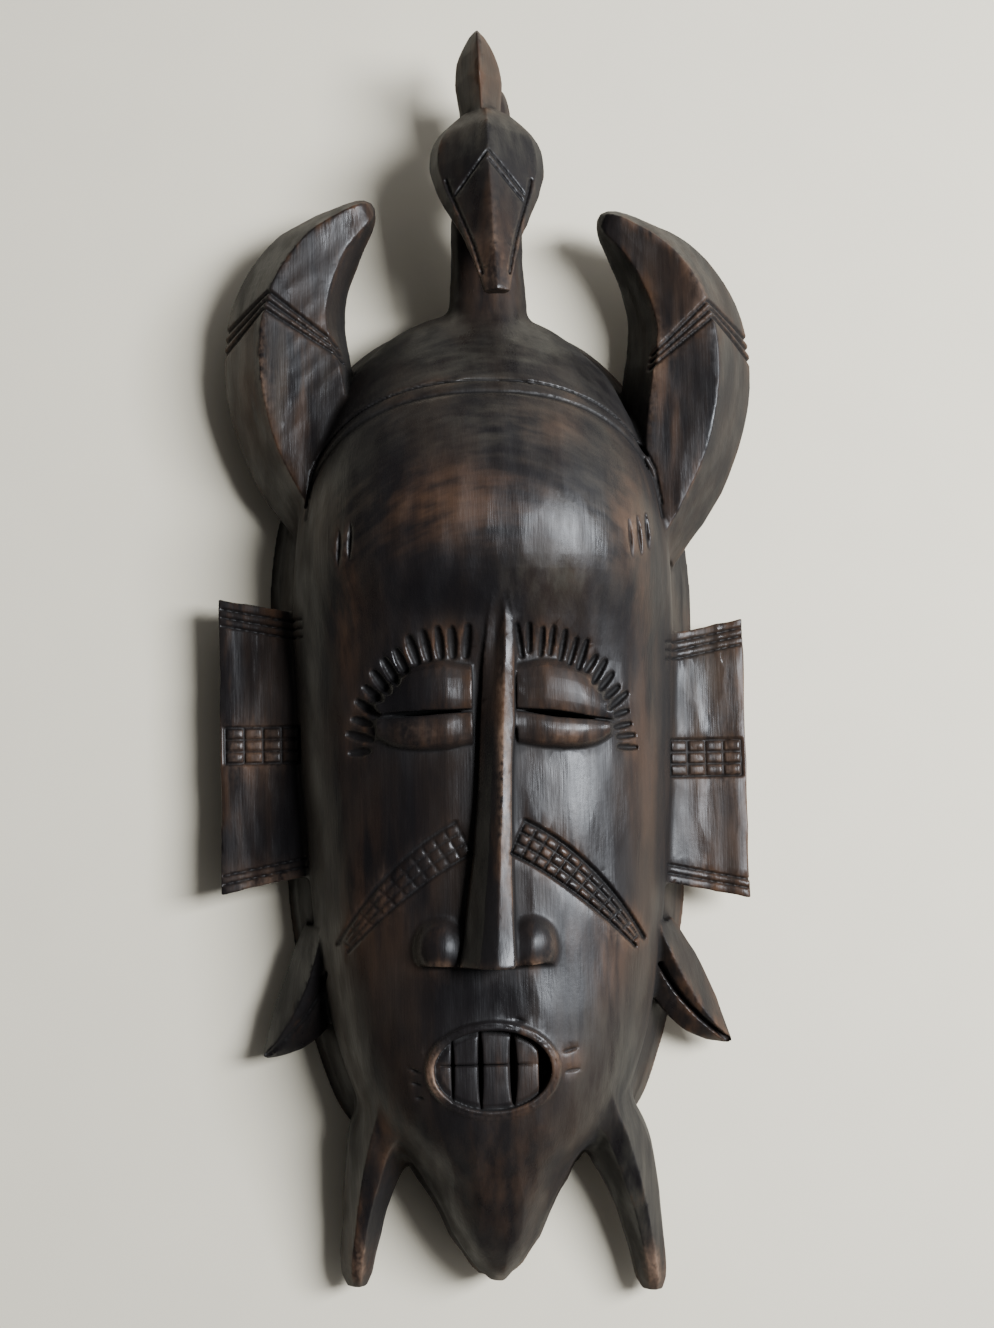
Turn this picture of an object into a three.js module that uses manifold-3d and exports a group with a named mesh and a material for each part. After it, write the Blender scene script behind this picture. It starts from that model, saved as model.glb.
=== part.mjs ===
// A carved wooden face mask in one piece, lying on the flat rim of its hollow back.
// Millimetres. +X is to the right as the face is seen, +Y is up the face, +Z is out of the face.
// The origin is the middle of the back plane, under the middle of the mask.

import * as THREE from "three";
import { mergeVertices } from "three/addons/utils/BufferGeometryUtils.js";
import Module from "manifold-3d";

const wasm = await Module();
wasm.setup();

// Overall size: the drawn forms keep their proportions within it, and the hollow keeps its walls.
const MASK_WIDTH = 182;
const MASK_LENGTH = 420;
const MASK_DEPTH = 73.8;

// The ends of the drawn mask.
const CREST_TIP_Y = 211;
const CHIN_TIP_Y = -203.5;
const FEET_Y = -209;
const UPPER_LEAN = 3.6; // the horns and the bird lean this far to the right of the face's middle
const STAIN = { color: 0x2a1d16, roughness: 0.5, metalness: 0 };

// The shell: the rim's outline as half-width and height up the face, from the crown to the jaw.
const RIM_OUTLINE = [
  [0, 121.5], [30, 116], [52, 98], [66, 67], [72.5, 34], [73, -5],
  [70.5, -50], [66, -95], [58, -132], [46, -155], [22, -167], [0, -169],
];
const RIM_ROWS = 31;
const RIM_COLUMNS = 21;
const SKIRT_WIDTH = 9; // the side wall flares out by this much towards the back
const SKIRT_HEIGHT = 15;
const DOME_POWER = 2.3; // 2 is an ellipse, more is squarer
// Height of the face above the back plane along its middle: [up the face, height].
const FACE_HEIGHT = [
  [122, 21], [114, 34], [102, 45], [88, 54], [70, 64.5], [48, 71], [28, 69.5], [10, 61.5],
  [-5, 57], [-40, 57], [-85, 57], [-130, 57.5], [-150, 53], [-169, 40],
];

// The hollow in the back: the walls it leaves, its outline as shares of the half-width inside the rim,
// and its height as shares of the height behind the face, both up the face.
const RIM_WALL = 14;
const FRONT_WALL = 11;
const HOLLOW_OUTLINE = [
  [0, 90], [0.73, 82], [0.95, 57], [1, 25], [1, -30], [1, -80], [0.96, -117], [0.76, -141], [0, -151],
];
const HOLLOW_RISE = [
  [91, 0.34], [78, 0.86], [60, 0.955], [45, 1], [-85, 1], [-112, 0.935], [-135, 0.78], [-151, 0.34],
];
const HOLLOW_ROWS = 17;
const HOLLOW_COLUMNS = 13;
const BELOW = 5; // how far a cut runs past the back plane
const THROUGH = { from: 20, to: 95 }; // heights between which a cut is made right through the front wall

// The chin: half-width, underside and front height at stations down the face.
const CHIN = [
  { y: -128, half: 40, back: 6, front: 56 },
  { y: -150, half: 36, back: 6, front: 53 },
  { y: -167, half: 28.4, back: 6, front: 46 },
  { y: -181, half: 20.6, back: 6.5, front: 38.5 },
  { y: -190, half: 16, back: 7, front: 33 },
  { y: CHIN_TIP_Y + 8, half: 12.4, back: 8, front: 29 },
  { y: CHIN_TIP_Y + 3, half: 9.8, back: 9.5, front: 25 },
  { y: CHIN_TIP_Y, half: 6, back: 12, front: 20.5 },
];
const CHIN_LEAN = 0.6; // the chin's tip stands this far to the right of the face's middle

// The line where the crown meets the forehead: two incised arcs.
const BAND = {
  middle: 1, halfWidth: 59, top: 89, fall: 38, power: 2.2, lines: 2, gap: 4.5,
  width: 1.8, depth: 1.4, steps: 16, outward: [0, 0.45, 1],
};

// A horn as rails from its root to its tip: [across, up, out].
const HORN_RAILS = {
  outer: [[62, 35, 14], [80, 61, 17], [89.3, 92, 19], [86.5, 121, 21], [70, 144, 25], [40, 157, 30]],
  ridge: [[58, 43, 33], [74, 68, 38], [78, 97, 40], [74, 121, 40], [60, 141, 38], [39.5, 153.5, 36]],
  fold: [[56.5, 44, 32], [54.5, 72, 34], [56.5, 95, 34], [57, 114, 34], [49, 134, 33.5], [37, 147.5, 34]],
  inner: [[47, 46, 14], [46, 75, 14], [46.5, 98, 14], [48.5, 117, 15], [45.5, 132, 20], [36, 150, 28]],
};
const HORN_BACK = [8, 9, 10, 12, 16, 24]; // height of the horn's back face, root to tip
const HORN_STEPS = 13;
const CHEVRON = { at: 0.6, lines: 3, pitch: 0.025, frontFall: 0.1, sideFall: 0.07, width: 1.7, depth: 1.5 };

// The bird on the crown: a neck, a teardrop head that narrows to a beak, and a pointed crest.
const NECK = [
  { y: 100, half: 14.5, back: 8, front: 42 },
  { y: 121, half: 13.4, back: 9, front: 35 },
  { y: 136, half: 12.6, back: 12, front: 34 },
  { y: 150, half: 12.2, back: 17, front: 40 },
  { y: 166, half: 9, back: 26, front: 44 },
];
const HEAD = [
  { y: 184, half: 4, back: 33, front: 43 },
  { y: 181, half: 9.5, back: 28, front: 47.5 },
  { y: 173, half: 16.6, back: 22, front: 53.5 },
  { y: 163, half: 19.4, back: 20, front: 58 },
  { y: 153, half: 17.3, back: 25, front: 61 },
  { y: 143, half: 13.4, back: 37, front: 64 },
  { y: 133, half: 9.5, back: 50, front: 66.5 },
  { y: 122, half: 6.2, back: 59, front: 69 },
  { y: 114, half: 4.5, back: 62.5, front: 70 },
];
const HEAD_SHOULDER = 0.6; // height of the head's side edge, from its back to its ridge
const BEAK_SLANT = 1.6; // the beak's tip stands this far to the right of the head's middle
const CREST = [
  { y: CREST_TIP_Y - 35, half: 6.6, back: 26, front: 46 },
  { y: CREST_TIP_Y - 27, half: 7.4, back: 26, front: 46 },
  { y: CREST_TIP_Y - 16, half: 8.2, back: 28, front: 46.5 },
  { y: CREST_TIP_Y - 8, half: 6.6, back: 31, front: 46 },
  { y: CREST_TIP_Y - 2, half: 3.2, back: 35, front: 44.5 },
  { y: CREST_TIP_Y, half: 0.7, back: 38, front: 42.5 },
];
const CREST_LEAN = { root: -1.3, tip: -2.4 }; // how far the crest stands from the head's middle
const KNOB = { x: 4, above: 3, z: 23, across: 5.6, up: 11, out: 6 }; // a bump behind the crest
const HEAD_CHEVRON = { apex: 164, fall: 14.5, reach: 11.5, pitch: 3.4, width: 1.4, depth: 1.2 };
const JAW_LINE = { top: 156, bottom: 120, out: 0.93, width: 1.4, depth: 1.3 };

// What differs between the two sides: the carver's own unevenness.
const SIDES = [
  {
    sign: -1, hornRise: 2.2, foldIn: 0.75, headLines: 1, slitFall: 1.2,
    ear: { middle: -26.5, height: 99, reach: 88.8 },
    fin: { top: [61, -86], bulge: [70.5, -104], tip: [76.5, -130.5], low: [46, -129] },
    leg: { root: -29, foot: -46, end: FEET_Y + 3.5 },
  },
  {
    sign: 1, hornRise: -2.4, foldIn: 0, headLines: 2, slitFall: 3.6,
    ear: { middle: -33.5, height: 94.5, reach: 87.8 },
    fin: { top: [61.6, -86.5], bulge: [75, -105], tip: [81.4, -129], low: [54, -128.5] },
    leg: { root: 30, foot: 52, end: FEET_Y },
  },
];

// The ears: flaring panels, dished in front.
const EAR = { root: 56, rootShrink: 13, thickness: 9, z: 19, dish: 1.8, backSlope: 1.5, columns: 5 };
const EAR_GROOVES = { fromEnd: 4.2, pitch: 3.6, width: 1.5, depth: 1.2, count: 2, from: 0.15, to: 0.95 };
const EAR_BAND = { height: 12, rows: 2, columns: 4, from: 0.2, to: 0.94, width: 1.6, depth: 1.4 };

// The fins at the jaw: leaf-shaped, with a ridge near the outer edge and a slit.
const FIN = { back: 11, edge: 16, root: 30, tip: 16, ridgeShare: 0.42, rootX: 48, rootY: -92, steps: 7 };
const FIN_SLIT = { from: 0.2, to: 0.9, share: 0.55, width: 2.6, depth: 4 };

// The legs: section at shares of the way from the jaw to the foot.
const LEG = [
  { t: 0, half: 8, back: 6, front: 41 },
  { t: 0.25, half: 12, back: 5, front: 38 },
  { t: 0.4, half: 11, back: 5, front: 33 },
  { t: 0.67, half: 7.7, back: 5, front: 25.5 },
  { t: 0.94, half: 5.7, back: 6, front: 18.5 },
  { t: 1, half: 3.6, back: 8.5, front: 15.5 },
];
const LEG_TOP_Y = -133;
const LEG_BEND = 1.6; // over 1 bows the leg outwards near the jaw

// The nose: a long ridge that widens and rises towards its flat base.
const NOSE = [
  { y: 20, x: 4.4, half: 2.2, rise: -1.5 },
  { y: 8, x: 4.3, half: 4.4, rise: 2.4 },
  { y: -20, x: 2.8, half: 5.4, rise: 8.5 },
  { y: -55, x: 1.3, half: 5.8, rise: 12 },
  { y: -82, x: 0, half: 7.4, rise: 14.5 },
  { y: -98.5, x: -0.7, half: 8.6, rise: 16.5 },
];
const NOSE_TOP = { right: 0.76, left: 0.3, drop: 2.2 }; // shares of the half-width, and the left edge's drop
const NOSTRIL = { x: 15, centre: -0.9, y: -93, across: 9, up: 10, out: 12, z: 52 };

// The eyes: two raised bands, the lids, with a slit between them, under a fan of short notches.
const EYE_MIDDLE = 1.9;
const UPPER_LID = {
  inner: 7, outer: 38.5, edge: 0.6, rise: 5,
  reach: [[0, 14.8], [0.3, 16.6], [0.6, 14.6], [0.8, 10.4], [0.93, 6], [1, 2.5]],
};
const LOWER_LID = {
  inner: 7, outer: 37.5, edge: -1.2, rise: 4,
  reach: [[0, -11], [0.3, -12.6], [0.6, -12.8], [0.85, -11.4], [1, -8.5]],
};
const LID_STEPS = 8;
const LID_SUNK = 5; // how far a lid's root is buried in the wall
const SLIT = { inner: 8.5, outer: 36, y: -18.2, height: 2.2, steps: 8 };
const BROW = {
  x: 12, y: -29.5, innerAcross: 28, innerUp: 29, outerAcross: 33.5, outerUp: 37.5,
  from: -2, to: 97, notches: 14, width: 3.1, depth: 2.2,
};

// The mouth: a raised lip around an oval recess with two rows of teeth.
const MOUTH = { x: -0.8, y: -131, across: 18.8, up: 12.9, lip: 2.7, lipRise: 1.4, depth: 10 };
const TEETH = {
  spans: [[-19, -13], [-12.2, -4.7], [-3.3, 5.1], [7.4, 14]],
  rise: 7, bevel: 1.2, split: 1.6, join: 0.8,
};
const ARC_STEPS = 28;

// The scars on the cheeks: a tapering band of cells, and short cuts at the temples.
const SCAR = {
  start: [8.6, -58.6], bend: [28.5, -68.5], end: [46.5, -91.5],
  width: 11, taper: 0.6, rows: 2, columns: 6, pieces: 3, cut: 1.3, depth: 1.1,
};
const TEMPLE = { x: 47.5, y: 36, pitch: 3.6, count: 3, length: 13, width: 1.5, depth: 1.6 };

// A smooth function through [place, value] pairs, by cubic pieces with averaged slopes.
function profile(pairs) {
  const rising = pairs[0][0] < pairs.at(-1)[0] ? pairs : [...pairs].reverse();
  const slope = (i) => {
    const before = rising[Math.max(i - 1, 0)];
    const after = rising[Math.min(i + 1, rising.length - 1)];
    return (after[1] - before[1]) / (after[0] - before[0]);
  };
  return (place) => {
    const found = rising.findIndex((pair) => pair[0] > place);
    const i = found < 0 ? rising.length - 2 : Math.max(found - 1, 0);
    const [a, va] = rising[i];
    const [b, vb] = rising[i + 1];
    const u = THREE.MathUtils.clamp((place - a) / (b - a), 0, 1);
    const step = b - a;
    return (
      (2 * u ** 3 - 3 * u ** 2 + 1) * va + (u ** 3 - 2 * u ** 2 + u) * step * slope(i) +
      (3 * u ** 2 - 2 * u ** 3) * vb + (u ** 3 - u ** 2) * step * slope(i + 1)
    );
  };
}

// One value of a list of stations, as a smooth function of their place.
const along = (stations, place, name) => profile(stations.map((s) => [s[place], s[name]]));

// A closed body from rings of points, each ring joined to the next and both ends closed.
function loft(rings) {
  const count = rings[0].length;
  const points = rings.flat();
  const faces = [];
  for (let r = 0; r + 1 < rings.length; r++)
    for (let i = 0; i < count; i++) {
      const a = r * count + i;
      const b = r * count + ((i + 1) % count);
      faces.push(a, b, b + count, a, b + count, a + count);
    }
  for (const [start, turned] of [[0, true], [(rings.length - 1) * count, false]]) {
    const centre = points.length;
    const ring = points.slice(start, start + count);
    points.push([0, 1, 2].map((axis) => ring.reduce((sum, p) => sum + p[axis], 0) / count));
    for (let i = 0; i < count; i++) {
      const a = start + i;
      const b = start + ((i + 1) % count);
      faces.push(...(turned ? [b, a, centre] : [a, b, centre]));
    }
  }
  const geometry = new THREE.BufferGeometry();
  geometry.setAttribute("position", new THREE.Float32BufferAttribute(points.flat(), 3));
  geometry.setIndex(faces);
  return solidFrom(geometry);
}

// A solid from any closed geometry, whichever way round its faces are.
function solidFrom(geometry) {
  const bare = geometry.clone();
  bare.deleteAttribute("normal");
  bare.deleteAttribute("uv");
  const merged = mergeVertices(bare, 1e-3);
  const p = merged.attributes.position.array;
  const triVerts = new Uint32Array(merged.index.array);
  let volume = 0;
  const corner = (i) => new THREE.Vector3(p[3 * i], p[3 * i + 1], p[3 * i + 2]);
  for (let i = 0; i < triVerts.length; i += 3) {
    const [a, b, c] = [0, 1, 2].map((k) => corner(triVerts[i + k]));
    volume += a.dot(b.cross(c));
  }
  if (volume < 0)
    for (let i = 0; i < triVerts.length; i += 3)
      [triVerts[i + 1], triVerts[i + 2]] = [triVerts[i + 2], triVerts[i + 1]];
  return new wasm.Manifold(new wasm.Mesh({ numProp: 3, vertProperties: p, triVerts }));
}

const join = (solids) => solids.reduce((all, solid) => all.add(solid));
const cut = (solid, cutters) => cutters.reduce((left, cutter) => left.subtract(cutter), solid);
const steps = (count) => Array.from({ length: count }, (_, i) => i);
const mix = THREE.MathUtils.lerp;

const faceHeight = profile(FACE_HEIGHT);
const rimCurve = new THREE.SplineCurve(RIM_OUTLINE.map(([w, y]) => new THREE.Vector2(w, y)));

// Half-width of the rim at a height up the face.
function rimHalf(y) {
  const row = steps(201).map((i) => rimCurve.getPoint(i / 200));
  return row.reduce((best, p) => (Math.abs(p.y - y) < Math.abs(best.y - y) ? p : best)).x;
}

// Half-width of the rim for each whole millimetre, kept so that it is worked out once.
const RIM_TABLE = new Map();
function rimAt(y) {
  const key = Math.round(y);
  if (!RIM_TABLE.has(key)) RIM_TABLE.set(key, rimHalf(key));
  return RIM_TABLE.get(key);
}

// Height of the bare face at a place across and up it.
function surface(x, y) {
  const half = Math.max(rimAt(y) - SKIRT_WIDTH, 1);
  const share = Math.min(Math.abs(x) / half, 1);
  return SKIRT_HEIGHT + (faceHeight(y) - SKIRT_HEIGHT) * (1 - share ** DOME_POWER) ** (1 / DOME_POWER);
}

// An arched section: a flat base, a flaring skirt, then a squarish arch.
function archSection(half, height, y, columns, { skirt = 0, skirtHeight = 0, base = 0 } = {}) {
  const width = half - Math.min(skirt, half * 0.35);
  const foot = Math.min(skirtHeight, height * 0.6);
  const arch = steps(columns).map((i) => {
    const turn = Math.PI * (i / (columns - 1) - 0.5);
    const across = Math.sign(turn) * Math.abs(Math.sin(turn)) ** (2 / DOME_POWER);
    return [width * across, y, foot + (height - foot) * Math.max(Math.cos(turn), 0) ** (2 / DOME_POWER)];
  });
  return [[-half, y, base], ...arch, [half, y, base]];
}

function shell() {
  const rows = steps(RIM_ROWS).map((i) => {
    const end = 0.5 - 0.5 * Math.cos((Math.PI * i) / (RIM_ROWS - 1));
    const t = THREE.MathUtils.clamp(mix(i / (RIM_ROWS - 1), end, 0.55), 0.004, 0.996);
    const { x: half, y } = rimCurve.getPoint(t);
    return archSection(Math.max(half, 1), faceHeight(y), y, RIM_COLUMNS, {
      skirt: SKIRT_WIDTH, skirtHeight: SKIRT_HEIGHT,
    });
  });
  return loft(rows);
}

// The hollow at the mask's own size, so that its walls keep their thickness.
function hollow({ scale: [across, up, out], middle: [x0, y0] }) {
  const outline = new THREE.SplineCurve(HOLLOW_OUTLINE.map(([share, y]) => new THREE.Vector2(share, y)));
  const rise = profile(HOLLOW_RISE);
  const rows = steps(HOLLOW_ROWS).map((i) => {
    const end = 0.5 - 0.5 * Math.cos((Math.PI * i) / (HOLLOW_ROWS - 1));
    const { x: share, y } = outline.getPoint(THREE.MathUtils.clamp(end, 0.01, 0.99));
    const half = share * (rimHalf(y) * across - RIM_WALL);
    const height = rise(y) * (faceHeight(y) * out - FRONT_WALL);
    return archSection(Math.max(half, 1), height, (y - y0) * up, HOLLOW_COLUMNS, { base: -BELOW });
  });
  return loft(rows).translate([-x0 * across, 0, 0]);
}

// A body along the face from stations of half-width, underside and front, with a section of its own.
function bodyAlong(stations, count, sectionAt) {
  const [from, to] = [stations[0].y, stations.at(-1).y];
  const half = along(stations, "y", "half");
  const back = along(stations, "y", "back");
  const front = along(stations, "y", "front");
  return loft(
    steps(count).map((i) => {
      const y = mix(from, to, i / (count - 1));
      return sectionAt(y, Math.max(half(y), 0.5), back(y), front(y));
    }),
  );
}

// A section with a rounded front and back: points round a squarish oval.
const ovalSection = (count, power = 2.4, x0 = 0) => (y, half, back, front) =>
  steps(count).map((i) => {
    const turn = (2 * Math.PI * i) / count;
    const round = (v) => Math.sign(v) * Math.abs(v) ** (2 / power);
    const z = (back + front) / 2 + ((front - back) / 2) * round(Math.sin(turn));
    return [x0 + half * round(Math.cos(turn)), y, z];
  });

// A section with a ridge down its front: flat back, sloping sides.
const ridgedSection = (shoulder, x0 = () => 0) => (y, half, back, front) => {
  const x = x0(y);
  const side = mix(back, front, shoulder);
  const widest = side - (front - back) * 0.22;
  return [
    [x - half * 0.7, y, back], [x + half * 0.7, y, back], [x + half, y, widest],
    [x + half * 0.88, y, side], [x, y, front], [x - half * 0.88, y, side], [x - half, y, widest],
  ];
};

function chin() {
  const section = (y, half, back, front) => {
    const lean = (CHIN_LEAN * (CHIN[0].y - y)) / (CHIN[0].y - CHIN_TIP_Y);
    const arch = archSection(half, front, y, 13, { skirt: 3, skirtHeight: back + 10, base: back });
    return arch.map(([x, ...rest]) => [x + lean, ...rest]);
  };
  return bodyAlong(CHIN, 16, section);
}

// A rail of the horn as a smooth line from root to tip.
const rail = (points) => new THREE.CatmullRomCurve3(points.map((p) => new THREE.Vector3(...p)));

function hornRails({ sign, hornRise, foldIn }) {
  const fold = HORN_RAILS.fold.map(([x, y, z], i) => [mix(x, HORN_RAILS.inner[i][0], foldIn), y, z]);
  const rails = Object.entries({ ...HORN_RAILS, fold });
  const lines = Object.fromEntries(rails.map(([name, points]) => [name, rail(points)]));
  const back = profile(HORN_BACK.map((z, i) => [i / (HORN_BACK.length - 1), z]));
  const place = (name, t, z) => {
    const p = lines[name].getPoint(t);
    return [sign * p.x + UPPER_LEAN, p.y + hornRise, z ?? p.z];
  };
  return { place, back };
}

function horn(side) {
  const { place, back } = hornRails(side);
  return loft(
    steps(HORN_STEPS).map((i) => {
      const t = i / (HORN_STEPS - 1);
      return [
        place("outer", t, back(t)), place("outer", t), place("ridge", t), place("fold", t),
        place("inner", t), place("inner", t, back(t)),
      ];
    }),
  );
}

// A groove along a line of points: a V as wide as stated where it meets the surface.
function grooveAlong(points, outward, width, depth) {
  const line = points.map((p) => new THREE.Vector3(...p));
  const out = new THREE.Vector3(...outward).normalize();
  const rings = line.map((p, i) => {
    const ahead = line[Math.min(i + 1, line.length - 1)];
    const behind = line[Math.max(i - 1, 0)];
    const across = new THREE.Vector3().crossVectors(ahead.clone().sub(behind), out).setLength(width);
    const open = p.clone().addScaledVector(out, depth);
    const corners = [p.clone().addScaledVector(out, -depth), open.clone().add(across), open.sub(across)];
    return corners.map((v) => v.toArray());
  });
  return loft(rings);
}

const groove = (from, to, outward, width, depth) => grooveAlong([from, to], outward, width, depth);

// The chevrons that cross a horn's ridge: one arm down the front face, one down the outer face.
function hornChevrons(side) {
  const { place } = hornRails(side);
  const arms = [
    { edge: "fold", fall: CHEVRON.frontFall, outward: [side.sign * -0.35, 0, 1] },
    { edge: "outer", fall: CHEVRON.sideFall, outward: [side.sign, 0, 0.6] },
  ];
  return steps(CHEVRON.lines).flatMap((line) => {
    const t = CHEVRON.at - line * CHEVRON.pitch;
    return arms.map(({ edge, fall, outward }) =>
      groove(place("ridge", t), place(edge, t - fall), outward, CHEVRON.width, CHEVRON.depth),
    );
  });
}

function ellipsoid({ x = 0, y, z, across, up, out }, wide = 16, high = 10) {
  const ball = new THREE.SphereGeometry(1, wide, high);
  ball.scale(across, up, out);
  ball.translate(x, y, z);
  return solidFrom(ball);
}

// How far right of the head's middle the beak's ridge runs at a height.
function beakShift(y) {
  const [top, bottom] = [HEAD[3].y, HEAD.at(-1).y];
  return BEAK_SLANT * THREE.MathUtils.clamp((top - y) / (top - bottom), 0, 1);
}

function birdCuts() {
  const [half, back, front] = ["half", "back", "front"].map((name) => along(HEAD, "y", name));
  const chevrons = SIDES.flatMap((side) =>
    steps(side.headLines).map((line) => {
      const apex = HEAD_CHEVRON.apex - line * HEAD_CHEVRON.pitch;
      const low = apex - HEAD_CHEVRON.fall;
      const slope = mix(back(low), front(low), HEAD_SHOULDER);
      const share = HEAD_CHEVRON.reach / half(low);
      const from = [beakShift(apex), apex, front(apex)];
      const to = [beakShift(low) + side.sign * HEAD_CHEVRON.reach, low, mix(front(low), slope, share)];
      return groove(from, to, [side.sign * 0.6, 0, 1], HEAD_CHEVRON.width, HEAD_CHEVRON.depth);
    }),
  );
  const jaws = SIDES.map((side) => {
    const at = (y) => {
      const shoulder = mix(back(y), front(y), HEAD_SHOULDER);
      return [beakShift(y) + side.sign * half(y) * JAW_LINE.out, y, shoulder - 1];
    };
    const line = [0, 0.35, 0.7, 1].map((u) => at(mix(JAW_LINE.top, JAW_LINE.bottom, u)));
    return grooveAlong(line, [side.sign, 0, 0.5], JAW_LINE.width, JAW_LINE.depth);
  });
  return [...chevrons, ...jaws];
}

// How far right of the head's middle the crest stands at a height.
function crestShift(y) {
  const [root, tip] = [CREST[0].y, CREST_TIP_Y];
  return mix(CREST_LEAN.root, CREST_LEAN.tip, THREE.MathUtils.clamp((y - root) / (tip - root), 0, 1));
}

function bird() {
  const parts = [
    bodyAlong(NECK, 6, ovalSection(10)),
    bodyAlong(HEAD, 14, ridgedSection(HEAD_SHOULDER, beakShift)),
    bodyAlong(CREST, 9, ridgedSection(0.5, crestShift)),
    ellipsoid({ ...KNOB, y: HEAD[0].y + KNOB.above }, 10, 8),
  ];
  return cut(join(parts), birdCuts()).translate([UPPER_LEAN, 0, 0]);
}

// The front face of an ear at a share of the way out.
const earDish = (u) => EAR.z + EAR.thickness / 2 - EAR.dish * Math.sin(Math.PI * u);
const earHalf = ({ ear }, u) => (ear.height - EAR.rootShrink * (1 - u)) / 2;

function ear(side) {
  return loft(
    steps(EAR.columns).map((i) => {
      const u = i / (EAR.columns - 1);
      const x = side.sign * mix(EAR.root, side.ear.reach, u);
      const [low, high] = [side.ear.middle - earHalf(side, u), side.ear.middle + earHalf(side, u)];
      const front = earDish(u);
      const back = EAR.z - EAR.thickness / 2 + EAR.backSlope * u;
      return [[x, low, back], [x, high, back], [x, high, front], [x, low, front]];
    }),
  );
}

function earCuts(side) {
  const { middle, reach } = side.ear;
  const line = (fromU, fromY, toU, toY, { width, depth }) => {
    const at = (u, y) => [side.sign * mix(EAR.root, reach, u), y, earDish(u)];
    return groove(at(fromU, fromY), at(toU, toY), [0, 0, 1], width, depth);
  };
  const ends = [-1, 1].flatMap((end) =>
    steps(EAR_GROOVES.count).map((i) => {
      const inset = EAR_GROOVES.fromEnd + i * EAR_GROOVES.pitch;
      const y = (u) => middle + end * (earHalf(side, u) - inset);
      return line(EAR_GROOVES.from, y(EAR_GROOVES.from), EAR_GROOVES.to, y(EAR_GROOVES.to), EAR_GROOVES);
    }),
  );
  const half = EAR_BAND.height / 2;
  const rows = steps(EAR_BAND.rows + 1).map((i) => {
    const y = middle + mix(-half, half, i / EAR_BAND.rows);
    return line(EAR_BAND.from, y, EAR_BAND.to, y, EAR_BAND);
  });
  const columns = steps(EAR_BAND.columns + 1).map((i) => {
    const u = mix(EAR_BAND.from, EAR_BAND.to, i / EAR_BAND.columns);
    return line(u, middle - half, u, middle + half, EAR_BAND);
  });
  return [...ends, ...rows, ...columns];
}

// The fin's outer edge and inner edge, both running down to its tip.
function finEdges({ sign, fin }) {
  const curve = (points) => {
    const [a, b, c] = points.map(([x, y]) => new THREE.Vector2(sign * x, y));
    return new THREE.QuadraticBezierCurve(a, b, c);
  };
  const outer = curve([fin.top, fin.bulge, fin.tip]);
  const inner = curve([[FIN.rootX, FIN.rootY], fin.low, fin.tip]);
  return (u, share) => {
    const place = outer.getPoint(u).lerp(inner.getPoint(u), share);
    return [place.x, place.y];
  };
}

function fin(side) {
  const at = finEdges(side);
  return loft(
    steps(FIN.steps).map((i) => {
      const u = (i / (FIN.steps - 1)) * 0.97;
      const edge = mix(FIN.edge, FIN.tip - 2, u);
      return [
        [...at(u, 0), FIN.back], [...at(u, 0), edge],
        [...at(u, FIN.ridgeShare), mix(FIN.root, FIN.tip + 2, u)],
        [...at(u, 1), edge + 3 * (1 - u)], [...at(u, 1), FIN.back],
      ];
    }),
  );
}

function finSlit(side) {
  const at = finEdges(side);
  const points = [FIN_SLIT.from, (FIN_SLIT.from + FIN_SLIT.to) / 2, FIN_SLIT.to].map((u) => {
    const ridge = mix(FIN.root, FIN.tip + 2, u);
    return [...at(u, FIN_SLIT.share), mix(ridge, FIN.edge, FIN_SLIT.share / 2)];
  });
  return grooveAlong(points, [side.sign * -0.2, -0.3, 1], FIN_SLIT.width, FIN_SLIT.depth);
}

function leg(side) {
  const { root, foot, end } = side.leg;
  const [half, back, front] = ["half", "back", "front"].map((name) => along(LEG, "t", name));
  const places = [0, 0.12, 0.25, 0.4, 0.53, 0.67, 0.82, 0.94, 1];
  return loft(
    places.map((t) => {
      const x = mix(root, foot, 1 - (1 - t) ** LEG_BEND);
      return ridgedSection(0.6, () => x)(mix(LEG_TOP_Y, end, t), half(t), back(t), front(t));
    }),
  );
}

function nose() {
  const [x, half, rise] = ["x", "half", "rise"].map((name) => along(NOSE, "y", name));
  const places = [20, 8, -6, -20, -38, -55, -70, -82, -92, -98.5];
  return loft(
    places.map((y) => {
      const base = surface(x(y), y);
      const [w, top] = [half(y), base + rise(y)];
      const sunk = base - 6;
      return [
        [x(y) - w * 1.1, y, sunk], [x(y) + w * 1.1, y, sunk], [x(y) + w, y, base + rise(y) * 0.35],
        [x(y) + w * NOSE_TOP.right, y, top - 0.6], [x(y) + w * 0.3, y, top],
        [x(y) - w * NOSE_TOP.left, y, top - NOSE_TOP.drop], [x(y) - w, y, base + rise(y) * 0.35],
      ];
    }),
  );
}

// A block that removes everything below a height up the face, around a place.
function blockBelow(y, x, reach) {
  const block = new THREE.BoxGeometry(reach * 2, 40, 60);
  block.translate(x, y - 20, 55);
  return solidFrom(block);
}

function nostrils() {
  return [-1, 1].map((sign) => {
    const x = NOSTRIL.centre + sign * NOSTRIL.x;
    return ellipsoid({ ...NOSTRIL, x }, 12, 10).subtract(blockBelow(NOSE.at(-1).y, x, 20));
  });
}

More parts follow.
